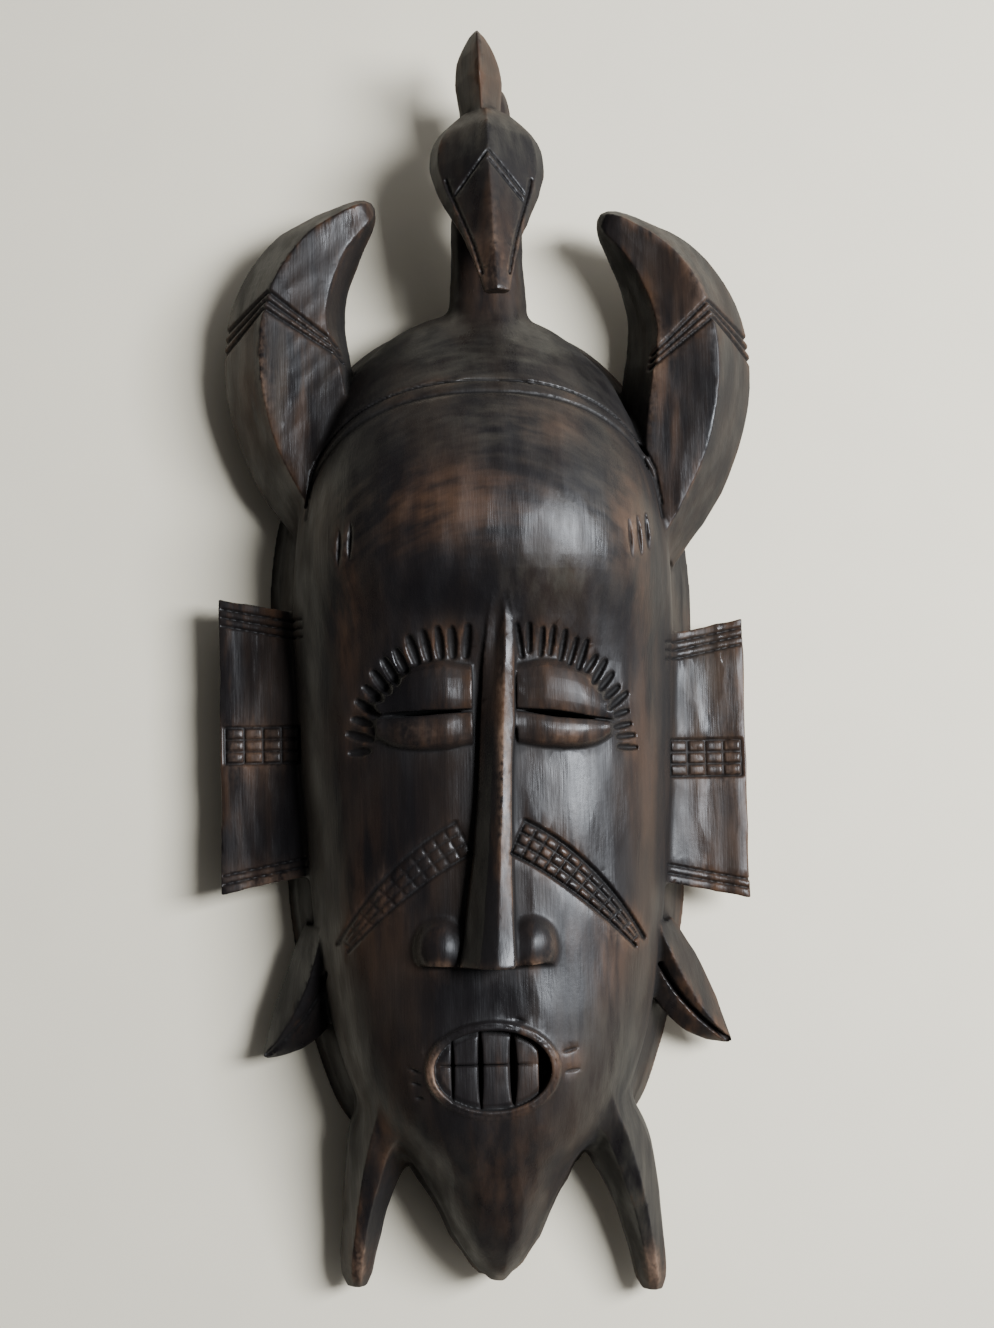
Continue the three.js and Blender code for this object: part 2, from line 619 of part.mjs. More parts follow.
// A lid: a band that stands out of the face beside the slit, with a rounded outer edge.
function lid({ sign, slitFall }, { inner, outer, edge, rise, reach }) {
  const reachAt = profile(reach);
  return loft(
    steps(LID_STEPS + 1).map((i) => {
      const u = i / LID_STEPS;
      const x = EYE_MIDDLE + sign * mix(inner, outer, u);
      const near = SLIT.y + edge - slitFall * u;
      const far = SLIT.y + reachAt(u);
      const z = surface(x, mix(near, far, 0.5));
      const high = rise * (0.5 + 0.5 * Math.sin(Math.PI * THREE.MathUtils.clamp(u, 0.1, 0.9)));
      return [
        [x, near, z - LID_SUNK], [x, near, z + high * 0.75], [x, mix(near, far, 0.4), z + high],
        [x, mix(near, far, 0.82), z + high * 0.7], [x, far, z - 1], [x, far, z - LID_SUNK],
      ];
    }),
  );
}

// The eye's opening: a lens-shaped slit right through the wall.
function slit({ sign, slitFall }) {
  const outline = (z) =>
    steps(SLIT.steps * 2).map((i) => {
      const u = i < SLIT.steps ? i / SLIT.steps : 2 - i / SLIT.steps;
      const x = EYE_MIDDLE + sign * mix(SLIT.inner, SLIT.outer, u);
      const swell = (SLIT.height / 2) * Math.sin(Math.PI * u) * (i < SLIT.steps ? 1 : -1);
      return [x, SLIT.y - slitFall * u + swell, z];
    });
  return loft([outline(THROUGH.from), outline(THROUGH.to)]);
}

// The fan of notches over an eye.
function browNotches(sign) {
  return steps(BROW.notches).map((i) => {
    const turn = THREE.MathUtils.degToRad(mix(BROW.from, BROW.to, i / (BROW.notches - 1)));
    const at = (across, up) => {
      const x = EYE_MIDDLE + sign * (BROW.x + across * Math.cos(turn));
      const y = BROW.y + up * Math.sin(turn);
      return [x, y, surface(x, y)];
    };
    const [from, to] = [at(BROW.innerAcross, BROW.innerUp), at(BROW.outerAcross, BROW.outerUp)];
    return groove(from, to, [sign * 0.45 * Math.cos(turn), 0, 1], BROW.width, BROW.depth);
  });
}

const ovalRing = (across, up, z, grow = 0) =>
  steps(ARC_STEPS).map((i) => {
    const turn = (2 * Math.PI * i) / ARC_STEPS;
    const x = MOUTH.x + (across + grow) * Math.cos(turn);
    const y = MOUTH.y + (up + grow) * Math.sin(turn);
    return [x, y, z ?? surface(x, y)];
  });

function lip() {
  const ring = (grow) => ovalRing(MOUTH.across, MOUTH.up, null, grow);
  const raised = (grow, rise) => ring(grow).map(([x, y, z]) => [x, y, z + rise]);
  return loft([raised(MOUTH.lip + 1, -6), raised(MOUTH.lip, 0), raised(MOUTH.lip * 0.4, MOUTH.lipRise)]);
}

function mouthRecess() {
  const floor = surface(MOUTH.x, MOUTH.y) - MOUTH.depth;
  return loft([ovalRing(MOUTH.across - 1, MOUTH.up - 1, floor), ovalRing(MOUTH.across, MOUTH.up, 80)]);
}

// The teeth: ridged blocks in two rows, cut to the recess's own oval.
function teeth() {
  const floor = surface(MOUTH.x, MOUTH.y) - MOUTH.depth;
  const blocks = [-1, 1].flatMap((row) =>
    TEETH.spans.map(([left, right]) => {
      const [a, b] = [MOUTH.x + left, MOUTH.x + right];
      const from = MOUTH.y + TEETH.split + (row * TEETH.join) / 2;
      const to = MOUTH.y + row * MOUTH.up * 1.2;
      const side = floor + TEETH.rise - TEETH.bevel;
      const section = (y) => [
        [a, y, floor - 2], [b, y, floor - 2], [b, y, side],
        [mix(a, b, 0.5), y, floor + TEETH.rise], [a, y, side],
      ];
      return loft([section(from), section(to)]);
    }),
  );
  const oval = (z) => ovalRing(MOUTH.across + 0.5, MOUTH.up + 0.5, z);
  return join(blocks).intersect(loft([oval(floor - 3), oval(THROUGH.to)]));
}

// The two arcs where the crown meets the forehead.
function bandGrooves() {
  return steps(BAND.lines).map((line) => {
    const at = (i) => {
      const share = mix(-1, 1, i / BAND.steps);
      const sag = 1 - (1 - Math.abs(share) ** BAND.power) ** (1 / BAND.power);
      const x = BAND.middle + share * BAND.halfWidth;
      const y = BAND.top - line * BAND.gap - BAND.fall * sag;
      return [x, y, surface(x, y)];
    };
    return grooveAlong(steps(BAND.steps + 1).map(at), BAND.outward, BAND.width, BAND.depth);
  });
}

// The band of scars on a cheek: lines along it and short cuts across it.
function scars(sign) {
  const curve = new THREE.QuadraticBezierCurve(
    ...[SCAR.start, SCAR.bend, SCAR.end].map(([x, y]) => new THREE.Vector2(x, y)),
  );
  const at = (t, v) => {
    const p = curve.getPoint(t);
    const d = curve.getTangent(t);
    const half = (SCAR.width / 2) * (1 - SCAR.taper * t ** 2);
    const x = sign * (p.x - d.y * v * half);
    const y = p.y + d.x * v * half;
    return [x, y, surface(x, y)];
  };
  const carved = (points) => grooveAlong(points, [sign * 0.25, 0, 1], SCAR.cut, SCAR.depth);
  const lines = steps(SCAR.rows + 1).map((row) => {
    const v = mix(-1, 1, row / SCAR.rows);
    return carved(steps(SCAR.pieces + 1).map((k) => at(k / SCAR.pieces, v)));
  });
  const rungs = steps(SCAR.columns).map((i) => carved([at(i / SCAR.columns, -1), at(i / SCAR.columns, 1)]));
  return [...lines, ...rungs];
}

function templeCuts(sign) {
  const half = TEMPLE.length / 2;
  return steps(TEMPLE.count).map((i) => {
    const x = sign * (TEMPLE.x + (i - 1) * TEMPLE.pitch);
    const at = (y) => [x, y, surface(x, y)];
    return groove(at(TEMPLE.y - half), at(TEMPLE.y + half), [sign * 0.7, 0, 1], TEMPLE.width, TEMPLE.depth);
  });
}

function carve() {
  const signs = [-1, 1];
  const solids = [
    shell(), chin(), bird(), nose(), ...nostrils(), lip(),
    ...SIDES.flatMap((side) => [horn(side), ear(side), fin(side), leg(side)]),
    ...SIDES.flatMap((side) => [lid(side, UPPER_LID), lid(side, LOWER_LID)]),
  ];
  const drawn = cut(join(solids), [mouthRecess()]);
  const fit = fitting(drawn);
  const block = cut(fit.place(drawn), [hollow(fit)]).add(fit.place(teeth()));
  const cuts = [
    ...signs.flatMap((sign) => [...browNotches(sign), ...scars(sign), ...templeCuts(sign)]),
    ...SIDES.flatMap((side) => [slit(side), ...hornChevrons(side), ...earCuts(side), finSlit(side)]),
    ...bandGrooves(),
  ];
  return cut(block, cuts.map(fit.place));
}

function meshFrom(solid) {
  const { vertProperties, triVerts, numProp, numVert } = solid.getMesh();
  const points = new Float32Array(numVert * 3);
  for (let i = 0; i < numVert; i++) points.set(vertProperties.subarray(i * numProp, i * numProp + 3), i * 3);
  const geometry = new THREE.BufferGeometry();
  geometry.setAttribute("position", new THREE.BufferAttribute(points, 3));
  geometry.setIndex(new THREE.BufferAttribute(triVerts, 1));
  geometry.computeVertexNormals();
  return new THREE.Mesh(geometry, new THREE.MeshStandardMaterial(STAIN));
}

// How the drawn forms are fitted to the overall size, with the middle of their outline over the origin.
function fitting(drawn) {
  const { min, max } = drawn.boundingBox();
  const scale = [MASK_WIDTH, MASK_LENGTH, MASK_DEPTH].map((size, i) => size / (max[i] - min[i]));
  const middle = [(min[0] + max[0]) / 2, (min[1] + max[1]) / 2, min[2]];
  return { scale, middle, place: (solid) => solid.translate(middle.map((m) => -m)).scale(scale) };
}

const mask = meshFrom(carve());
mask.name = "mask";

const part = new THREE.Group();
part.add(mask);
export default part;
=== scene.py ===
"""Visual model of a carved wooden face mask, lying face up on the rim of its hollow back.

Sizes are in millimetres until a mesh is handed to Blender, which takes metres. The mask is
carved out of a block of distances: closed solids are joined into the block, hollows are cut
out of it, and the marks of gouge and knife move its surface inwards.
"""

from __future__ import annotations

import logging
import math
from dataclasses import dataclass, field
from enum import Enum
from typing import Iterable, Sequence

import bpy
import numpy as np
import openvdb
from mathutils import Matrix, Vector

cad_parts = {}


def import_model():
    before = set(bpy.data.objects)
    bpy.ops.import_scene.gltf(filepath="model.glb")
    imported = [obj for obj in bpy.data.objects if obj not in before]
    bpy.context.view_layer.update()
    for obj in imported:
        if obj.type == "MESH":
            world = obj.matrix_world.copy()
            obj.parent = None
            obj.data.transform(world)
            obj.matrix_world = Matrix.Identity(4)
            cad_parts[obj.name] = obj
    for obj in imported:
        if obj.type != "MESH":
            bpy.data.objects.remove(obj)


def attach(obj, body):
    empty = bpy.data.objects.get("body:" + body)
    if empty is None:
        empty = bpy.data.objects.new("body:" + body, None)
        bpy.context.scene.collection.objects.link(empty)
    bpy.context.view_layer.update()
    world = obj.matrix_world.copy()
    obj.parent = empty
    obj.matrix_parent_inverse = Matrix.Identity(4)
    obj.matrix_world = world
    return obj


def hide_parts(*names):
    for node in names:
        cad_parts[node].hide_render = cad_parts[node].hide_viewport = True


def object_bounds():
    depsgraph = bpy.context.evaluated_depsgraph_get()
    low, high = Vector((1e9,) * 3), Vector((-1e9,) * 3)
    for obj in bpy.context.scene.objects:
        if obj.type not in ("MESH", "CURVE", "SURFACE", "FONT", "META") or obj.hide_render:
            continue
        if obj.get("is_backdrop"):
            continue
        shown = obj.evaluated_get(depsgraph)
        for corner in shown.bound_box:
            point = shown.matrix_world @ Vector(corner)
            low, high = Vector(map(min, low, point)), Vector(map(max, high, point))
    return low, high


LOG = logging.getLogger("mask")
BODY = "root"
NODE = "mask"
MM = 0.001
FINE_VOXEL = 0.52

Array = np.ndarray
Pair = tuple[float, float]
Triple = tuple[float, float, float]
Pairs = Sequence[Pair]
Points = Sequence[Sequence[float]]
Socket = bpy.types.NodeSocket
Links = dict[str | int, object]

# Sizes of the whole mask in the carver's frame, before its middle is moved over the origin.
CREST_TIP_Y = 211.0
FEET_Y = -209.0
LEFT_FOOT_RISE = 3.5
EAR_REACH = 88.8
UPPER_LEAN = 3.6

# How finely round forms are drawn, a body's least half-width, and a length as good as none.
BALL_TURNS = 40
BALL_TILTS = 26
OVAL_TURNS = 40
LEAST_HALF = 0.5
TINY = 1e-9

# A scoop's reach from its middle, squared and in scoops, and the factors that scatter the scoops.
SCOOP_REACH = 0.6
SCATTER_FACTORS = (127.1, 311.7, 74.7)
SCATTER_SCALE = 43758.5453

# How fast a patch fades from its middle, and the places of a mix node's two colours.
PATCH_FADE = 1.5
COLOUR_SOCKETS = (6, 7)

# Shares of a ridged body's half-width: its flat back, and its shoulders.
FLAT_BACK = 0.7
SHOULDERS = 0.88


class Side(Enum):
    """The two sides of the face, by the sign of the side's X."""

    LEFT = -1
    RIGHT = 1


def mix(a: float | Array, b: float | Array, share: float | Array) -> float | Array:
    """Return the value a share of the way from a to b."""
    return a + (b - a) * share


def smooth_step(value: Array) -> Array:
    """Ease values from 0 to 1, held at both ends."""
    t = np.clip(value, 0.0, 1.0)
    return t * t * (3.0 - 2.0 * t)


@dataclass(frozen=True)
class Profile:
    """A smooth value along a line, through chosen (place, value) pairs."""

    pairs: Pairs

    def __call__(self, place: float | Array) -> Array:
        """Return the value at each place, held at both ends.

        Args:
            place: Where along the line.

        Returns:
            The values.
        """
        data = np.array(sorted(self.pairs), dtype=float)
        x, v = data[:, 0], data[:, 1]
        before = np.maximum(np.arange(len(x)) - 1, 0)
        after = np.minimum(np.arange(len(x)) + 1, len(x) - 1)
        slope = (v[after] - v[before]) / (x[after] - x[before])
        i = np.clip(np.searchsorted(x, place, side="right") - 1, 0, len(x) - 2)
        step = x[i + 1] - x[i]
        u = np.clip((place - x[i]) / step, 0.0, 1.0)
        start = (2 * u**3 - 3 * u**2 + 1) * v[i] + (u**3 - 2 * u**2 + u) * step * slope[i]
        end = (3 * u**2 - 2 * u**3) * v[i + 1] + (u**3 - u**2) * step * slope[i + 1]
        return start + end


def spline(points: Points, share: float | Array) -> Array:
    """Return points on a smooth curve through the given ones, with equal shares between them.

    Args:
        points: The points that the curve passes, of any dimension.
        share: How far along, from 0 to 1.

    Returns:
        One row for each share.
    """
    p = np.array(points, dtype=float)
    last = len(p) - 1
    place = np.clip(np.atleast_1d(share), 0.0, 1.0) * last
    i = np.minimum(place.astype(int), last - 1)
    u = (place - i)[:, None]
    a, b, c, d = p[np.maximum(i - 1, 0)], p[i], p[i + 1], p[np.minimum(i + 2, last)]
    v0, v1 = (c - a) / 2, (d - b) / 2
    return (2 * b - 2 * c + v0 + v1) * u**3 + (3 * c - 3 * b - 2 * v0 - v1) * u**2 + v0 * u + b


@dataclass(frozen=True)
class Solid:
    """A closed triangle mesh in millimetres."""

    points: Array
    triangles: Array


def loft(rings: Array) -> Solid:
    """Join rings of points into a closed solid, with a flat fan over each end.

    Args:
        rings: The rings as (ring, point, axis), with as many points in each.

    Returns:
        The closed solid.
    """
    rings = np.asarray(rings, dtype=float)
    count, around = rings.shape[:2]
    i = np.arange(around)
    j = (i + 1) % around
    faces = []
    for ring in range(count - 1):
        a, b = ring * around + i, ring * around + j
        faces += [np.stack([a, b, b + around], 1), np.stack([a, b + around, a + around], 1)]
    centres = rings[[0, -1]].mean(axis=1)
    start, end = count * around, count * around + 1
    last = (count - 1) * around
    faces.append(np.stack([j, i, np.full(around, start)], 1))
    faces.append(np.stack([last + i, last + j, np.full(around, end)], 1))
    points = np.vstack([rings.reshape(-1, 3), centres])
    return Solid(points.astype(np.float32), np.vstack(faces).astype(np.uint32))


def moved(solid: Solid, x: float) -> Solid:
    """Return a solid moved across by a distance."""
    return Solid(solid.points + np.array([x, 0.0, 0.0], np.float32), solid.triangles)


def ball(centre: Sequence[float], radii: Sequence[float], low_y: float | None = None) -> Solid:
    """Return an egg-shaped solid, cut off flat below a height up the face where one is given.

    Args:
        centre: The middle.
        radii: Half the width, height and depth.
        low_y: The height of the flat cut, or nothing.

    Returns:
        The solid.
    """
    turns = np.linspace(0, 2 * np.pi, BALL_TURNS, endpoint=False)
    tilts = np.linspace(-np.pi / 2, np.pi / 2, BALL_TILTS)[1:-1]
    rings = np.array([
        [[math.cos(t) * math.cos(a), math.sin(t), math.cos(t) * math.sin(a)] for a in turns]
        for t in tilts])
    rings = rings * np.array(radii) + np.array(centre)
    if low_y is not None:
        rings[..., 1] = np.maximum(rings[..., 1], low_y)
    return loft(rings)


class NodeSheet:
    """A node tree, written as chained calls."""

    def __init__(self, tree: bpy.types.NodeTree) -> None:
        """Write on the given tree."""
        self.tree = tree

    def add(self, kind: str, links: Links | None = None, **options: object) -> bpy.types.Node:
        """Add a node, set its options, and fill its sockets with values or other nodes' outputs.

        Args:
            kind: The node's type.
            links: Values or outputs by socket.
            options: The node's settings.

        Returns:
            The new node.
        """
        node = self.tree.nodes.new(kind)
        for option, value in options.items():
            setattr(node, option, value)
        for name, value in (links or {}).items():
            if isinstance(value, Socket):
                self.link(value, node.inputs[name])
            else:
                node.inputs[name].default_value = value
        return node

    def link(self, source: Socket, target: Socket) -> None:
        """Join two sockets."""
        self.tree.links.new(source, target)


class GeometrySheet(NodeSheet):
    """A geometry node tree with named inputs."""

    def __init__(self, name: str, inputs: dict[str, float | int]) -> None:
        """Start a tree with number inputs; whole numbers become whole-number sockets.

        Args:
            name: The tree's name.
            inputs: Usual values by input name.
        """
        super().__init__(bpy.data.node_groups.new(name, "GeometryNodeTree"))
        for label, value in inputs.items():
            kind = "NodeSocketInt" if isinstance(value, int) else "NodeSocketFloat"
            socket = self.tree.interface.new_socket(label, in_out="INPUT", socket_type=kind)
            socket.default_value = value
        self.tree.interface.new_socket("Geometry", in_out="OUTPUT", socket_type="NodeSocketGeometry")
        self.inputs = self.add("NodeGroupInput").outputs

    def math(self, operation: str, a: object, b: object = 0.0) -> Socket:
        """Return the result of a sum on two numbers."""
        return self.add("ShaderNodeMath", {0: a, 1: b}, operation=operation).outputs[0]

    def spread(self, low: float, high: float, seed: Socket) -> Socket:
        """Return a random number for each element.

        Args:
            low: The least.
            high: The most.
            seed: Fixes the random numbers.

        Returns:
            The random number.
        """
        node = self.add("FunctionNodeRandomValue", {"Seed": seed}, data_type="FLOAT")
        node.inputs[2].default_value = low
        node.inputs[3].default_value = high
        return node.outputs[1]

    def finish(self, geometry: Socket) -> bpy.types.NodeTree:
        """Realize and dress the geometry, send it out and return the tree.

        Args:
            geometry: What the tree has made.

        Returns:
            The finished tree.
        """
        real = self.add("GeometryNodeRealizeInstances", {"Geometry": geometry})
        dressed = self.add("GeometryNodeSetMaterial", {"Geometry": real.outputs[0]})
        self.link(dressed.outputs[0], self.add("NodeGroupOutput").inputs[0])
        return self.tree


def strokes_from(tree: bpy.types.NodeTree, **values: float | int) -> Array:
    """Run a node tree and return the edges of its mesh.

    Args:
        tree: A tree whose output is a mesh of edges.
        values: The tree's named inputs, with spaces written as underscores.

    Returns:
        The edges as (edge, end, axis), in millimetres.
    """
    host = bpy.data.objects.new("cuts", bpy.data.meshes.new("cuts"))
    bpy.context.scene.collection.objects.link(host)
    modifier = host.modifiers.new("cuts", "NODES")
    modifier.node_group = tree
    sockets = {item.name: item.identifier for item in tree.interface.items_tree if item.in_out == "INPUT"}
    for name, value in values.items():
        modifier[sockets[name.replace("_", " ")]] = value
    mesh = bpy.data.meshes.new_from_object(host.evaluated_get(bpy.context.evaluated_depsgraph_get()))
    points = np.empty(len(mesh.vertices) * 3)
    ends = np.empty(len(mesh.edges) * 2, dtype=int)
    mesh.vertices.foreach_get("co", points)
    mesh.edges.foreach_get("vertices", ends)
    for data in (mesh, host.data):
        if data.users == 0:
            bpy.data.meshes.remove(data)
    bpy.data.objects.remove(host)
    return points.reshape(-1, 3)[ends.reshape(-1, 2)]


def fan_tree(turn_slip: float = 0.016, size_slip: float = 0.03) -> bpy.types.NodeTree:
    """Build the tree for a fan of short cuts between two oval arcs.

    Args:
        turn_slip: How far a cut's ends stray round the arcs, in radians.
        size_slip: How far they stray in or out, as a share of the arc.

    Returns:
        The finished tree.
    """
    t = GeometrySheet("fan_of_cuts", {
        "Count": 14, "From": 0.0, "To": 1.0, "Inner Across": 1.0, "Inner Up": 1.0,
        "Outer Across": 2.0, "Outer Up": 2.0, "Seed": 1})
    index = t.add("GeometryNodeInputIndex").outputs[0]
    share = t.math("DIVIDE", index, t.math("SUBTRACT", t.inputs["Count"], 1.0))
    span = t.math("SUBTRACT", t.inputs["To"], t.inputs["From"])
    even = t.math("ADD", t.inputs["From"], t.math("MULTIPLY", share, span))
    ends = []
    for number, arc in enumerate(("Inner", "Outer")):
        seed = t.math("ADD", t.inputs["Seed"], number)
        turn = t.math("ADD", even, t.spread(-turn_slip, turn_slip, seed))
        size = t.spread(1 - size_slip, 1 + size_slip, seed)
        wide = t.math("MULTIPLY", size, t.inputs[f"{arc} Across"])
        high = t.math("MULTIPLY", size, t.inputs[f"{arc} Up"])
        across = t.math("MULTIPLY", t.math("COSINE", turn), wide)
        up = t.math("MULTIPLY", t.math("SINE", turn), high)
        ends.append(t.add("ShaderNodeCombineXYZ", {"X": across, "Y": up}).outputs[0])
    reach = t.add("ShaderNodeVectorMath", {0: ends[1], 1: ends[0]}, operation="SUBTRACT").outputs[0]
    length = t.add("ShaderNodeVectorMath", {0: reach}, operation="LENGTH").outputs["Value"]
    aim = t.add("FunctionNodeAlignRotationToVector", {"Vector": reach}, axis="X").outputs[0]
    dots = t.add("GeometryNodeMeshLine", {"Count": t.inputs["Count"]})
    placed = t.add("GeometryNodeSetPosition", {"Geometry": dots.outputs[0], "Position": ends[0]})
    cut = t.add("GeometryNodeMeshLine", {"Count": 2, "Offset": (1.0, 0.0, 0.0)})
    fan = t.add("GeometryNodeInstanceOnPoints", {
        "Points": placed.outputs[0], "Instance": cut.outputs[0], "Rotation": aim, "Scale": length})
    return t.finish(fan.outputs[0])


def lattice_tree() -> bpy.types.NodeTree:
    """Build the tree for a lattice of cuts that fills a square from 0 to 1.

    Returns:
        The finished tree.
    """
    t = GeometrySheet("lattice_of_cuts", {"Columns": 4, "Rows": 2})
    lines = [t.math("ADD", t.inputs[name], 1.0) for name in ("Columns", "Rows")]
    grid = t.add("GeometryNodeMeshGrid", {
        "Size X": 1.0, "Size Y": 1.0, "Vertices X": lines[0], "Vertices Y": lines[1]})
    cornered = t.add("GeometryNodeTransform", {"Geometry": grid.outputs[0], "Translation": (0.5, 0.5, 0.0)})
    return t.finish(cornered.outputs[0])


@dataclass
class CarvingBlock:
    """A block of wood held as distances to its surface, which are negative inside.

    Attributes:
        low: The block's low corner.
        high: The block's high corner.
        voxel: The distance between samples.
        band: How far from a solid's surface its distances are kept.
    """

    low: Triple
    high: Triple
    voxel: float
    band: float = 5.0
    start: Array = field(init=False)
    distances: Array = field(init=False)

    def __post_init__(self) -> None:
        """Lay out an empty block on whole samples."""
        self.start = np.floor(np.array(self.low) / self.voxel).astype(int)
        end = np.ceil(np.array(self.high) / self.voxel).astype(int)
        self.distances = np.full(tuple(end - self.start + 1), self.band, np.float32)

    def axis(self, number: int) -> Array:
        """Return the sample places along one axis."""
        return (self.start[number] + np.arange(self.distances.shape[number])) * self.voxel

    def sampled(self, solid: Solid) -> tuple[tuple[slice, ...], Array]:
        """Return the window round a solid, and the solid's distances in it.

        Args:
            solid: The solid.

        Returns:
            The window's slices and the distances.
        """
        pad = self.band + self.voxel
        first = np.floor((solid.points.min(axis=0) - pad) / self.voxel).astype(int)
        last = np.ceil((solid.points.max(axis=0) + pad) / self.voxel).astype(int)
        first = np.maximum(first, self.start)
        last = np.minimum(last, self.start + self.distances.shape - 1)
        grid = openvdb.FloatGrid.createLevelSetFromPolygons(
            solid.points, triangles=solid.triangles, halfWidth=self.band / self.voxel,
            transform=openvdb.createLinearTransform(voxelSize=self.voxel))
        values = np.empty(tuple(last - first + 1), np.float32)
        grid.copyToArray(values, ijk=tuple(int(v) for v in first))
        window = tuple(slice(int(a), int(b) + 1) for a, b in zip(first - self.start, last - self.start))
        return window, values

    def join(self, solid: Solid, fillet: float) -> None:
        """Add a solid, with a fillet of the given size where it meets the rest."""
        window, other = self.sampled(solid)
        self.distances[window] = soft_min(self.distances[window], other, fillet)

    def cut(self, solid: Solid, edge: float) -> None:
        """Take a solid away, with its edges eased by the given size."""
        window, other = self.sampled(solid)
        self.distances[window] = -soft_min(-self.distances[window], other, edge)

    def keep_within(self, low: Sequence[float], high: Sequence[float]) -> None:
        """Plane the block flat to a box.

        Args:
            low: The box's low corner.
            high: The box's high corner.
        """
        for number in range(3):
            shape = [1, 1, 1]
            shape[number] = -1
            place = self.axis(number).reshape(shape).astype(np.float32)
            np.maximum(self.distances, low[number] - place, out=self.distances)
            np.maximum(self.distances, place - high[number], out=self.distances)

    def engrave(self, depths: Array, above: float) -> None:
        """Sink the surface by a depth for each place across and up, above a height."""
        first = int(np.searchsorted(self.axis(2), above))
        self.distances[:, :, first:] += depths[:, :, None].astype(np.float32)

    def plan(self) -> tuple[Array, Array]:
        """Return the across and up places of the block's samples, ready to be combined."""
        return self.axis(0)[:, None], self.axis(1)[None, :]

    def sample(self, values: Array, points: Array) -> Array:
        """Return values of the block's samples, blended to places between them.

        Args:
            values: One value for each sample.
            points: The points, in the carver's frame.

        Returns:
            One value for each point.
        """
        place = points / self.voxel - self.start
        i = np.clip(np.floor(place).astype(int), 0, np.array(values.shape) - 2)
        u = np.clip(place - i, 0.0, 1.0)
        total = np.zeros(len(points))
        for corner in np.ndindex(2, 2, 2):
            weight = np.prod(np.where(corner, u, 1.0 - u), axis=1)
            total += weight * values[i[:, 0] + corner[0], i[:, 1] + corner[1], i[:, 2] + corner[2]]
        return total

    def surface(self) -> tuple[Array, Array]:
        """Return the carved surface as points and four-sided faces that face outwards.

        Returns:
            The points and the faces.
        """
        grid = openvdb.FloatGrid(background=self.band)
        grid.copyFromArray(self.distances, ijk=tuple(int(v) for v in self.start))
        grid.transform = openvdb.createLinearTransform(voxelSize=self.voxel)
        points, quads = grid.convertToQuads(0.0)
        return points, quads[:, ::-1]


def soft_min(a: Array, b: Array, reach: float) -> Array:
    """Return the lower of two distances, rounded where they are nearly equal."""
    near = np.maximum(reach - np.abs(a - b), 0.0) / reach
    return np.minimum(a, b) - near * near * (reach / 4)


@dataclass(frozen=True)
class Tool:
    """The cut that one tool leaves.

    Attributes:
        width: The cut's width at its widest.
        depth: The cut's depth at its deepest.
        taper: How much of its width and depth a cut loses at its ends.
        flat: The share of the width that the tool leaves flat.
    """

    width: float
    depth: float
    taper: float = 0.0
    flat: float = 0.0


@dataclass
class CutPlan:
    """Depths of cuts, seen from the front, on a block's samples."""

    block: CarvingBlock
    depths: Array = field(init=False)

    def __post_init__(self) -> None:
        """Start with no cuts."""
        self.depths = np.zeros(self.block.distances.shape[:2], np.float32)

    def scratch(self, strokes: Array, tool: Tool) -> None:
        """Cut straight strokes with a V-shaped tool.

        Args:
            strokes: The strokes as (stroke, end, axis); heights are ignored.
            tool: The tool that cuts them.
        """
        x, y = self.block.plan()
        width = tool.width
        for a, b in np.asarray(strokes, dtype=float)[:, :, :2]:
            columns = (x[:, 0] > min(a[0], b[0]) - width) & (x[:, 0] < max(a[0], b[0]) + width)
            rows = (y[0] > min(a[1], b[1]) - width) & (y[0] < max(a[1], b[1]) + width)
            window = np.ix_(columns, rows)
            dx, dy = x[columns] - a[0], y[:, rows] - a[1]
            run = b - a
            share = np.clip((dx * run[0] + dy * run[1]) / max(run @ run, TINY), 0.0, 1.0)
            away = np.hypot(dx - share * run[0], dy - share * run[1])
            size = 1.0 - tool.taper * (2.0 * share - 1.0) ** 2
            slope = (1.0 - away / (0.5 * width * size)) / (1.0 - tool.flat)
            groove = tool.depth * size * np.clip(slope, 0.0, 1.0)
            self.depths[window] = np.maximum(self.depths[window], groove)

    def line(self, points: Array, tool: Tool) -> None:
        """Cut one groove along a line of points."""
        self.scratch(np.stack([points[:-1], points[1:]], 1), tool)

    def scoops(self, size: Pair, depth: float, seed: int, where: Array, sag: float = 0.0) -> None:
        """Cover the face with shallow scoops, as a gouge leaves them.

        Args:
            size: A scoop's usual width and length.
            depth: How deep a scoop is.
            seed: Fixes where the scoops fall.
            where: Share of the depth at each place.
            sag: How much the rows of scoops bend down to the sides.
        """
        x, y = self.block.plan()
        u, v = x / size[0], (y + sag * x**2) / size[1]
        u, v = np.broadcast_arrays(u, v)
        cell_u, cell_v = np.floor(u).astype(int), np.floor(v).astype(int)
        nearest = np.full(u.shape, np.inf)
        for du, dv in np.ndindex(3, 3):
            cu, cv = cell_u + du - 1, cell_v + dv - 1
            spot_u, spot_v = cu + scatter(cu, cv, seed), cv + scatter(cu, cv, seed + 1)
            nearest = np.minimum(nearest, (u - spot_u) ** 2 + (v - spot_v) ** 2)
        bowl = np.clip(1.0 - nearest / SCOOP_REACH, 0.0, 1.0)
        self.depths += (depth * bowl * where).astype(np.float32)


def scatter(a: Array, b: Array, seed: int) -> Array:
    """Return a fixed, even scatter from 0 to 1 for pairs of whole numbers.

    Args:
        a: The first numbers.
        b: The second numbers.
        seed: Fixes the random numbers.

    Returns:
        The scatter.
    """
    first, second, third = SCATTER_FACTORS
    mixed = np.sin(a * first + b * second + seed * third) * SCATTER_SCALE
    return mixed - np.floor(mixed)


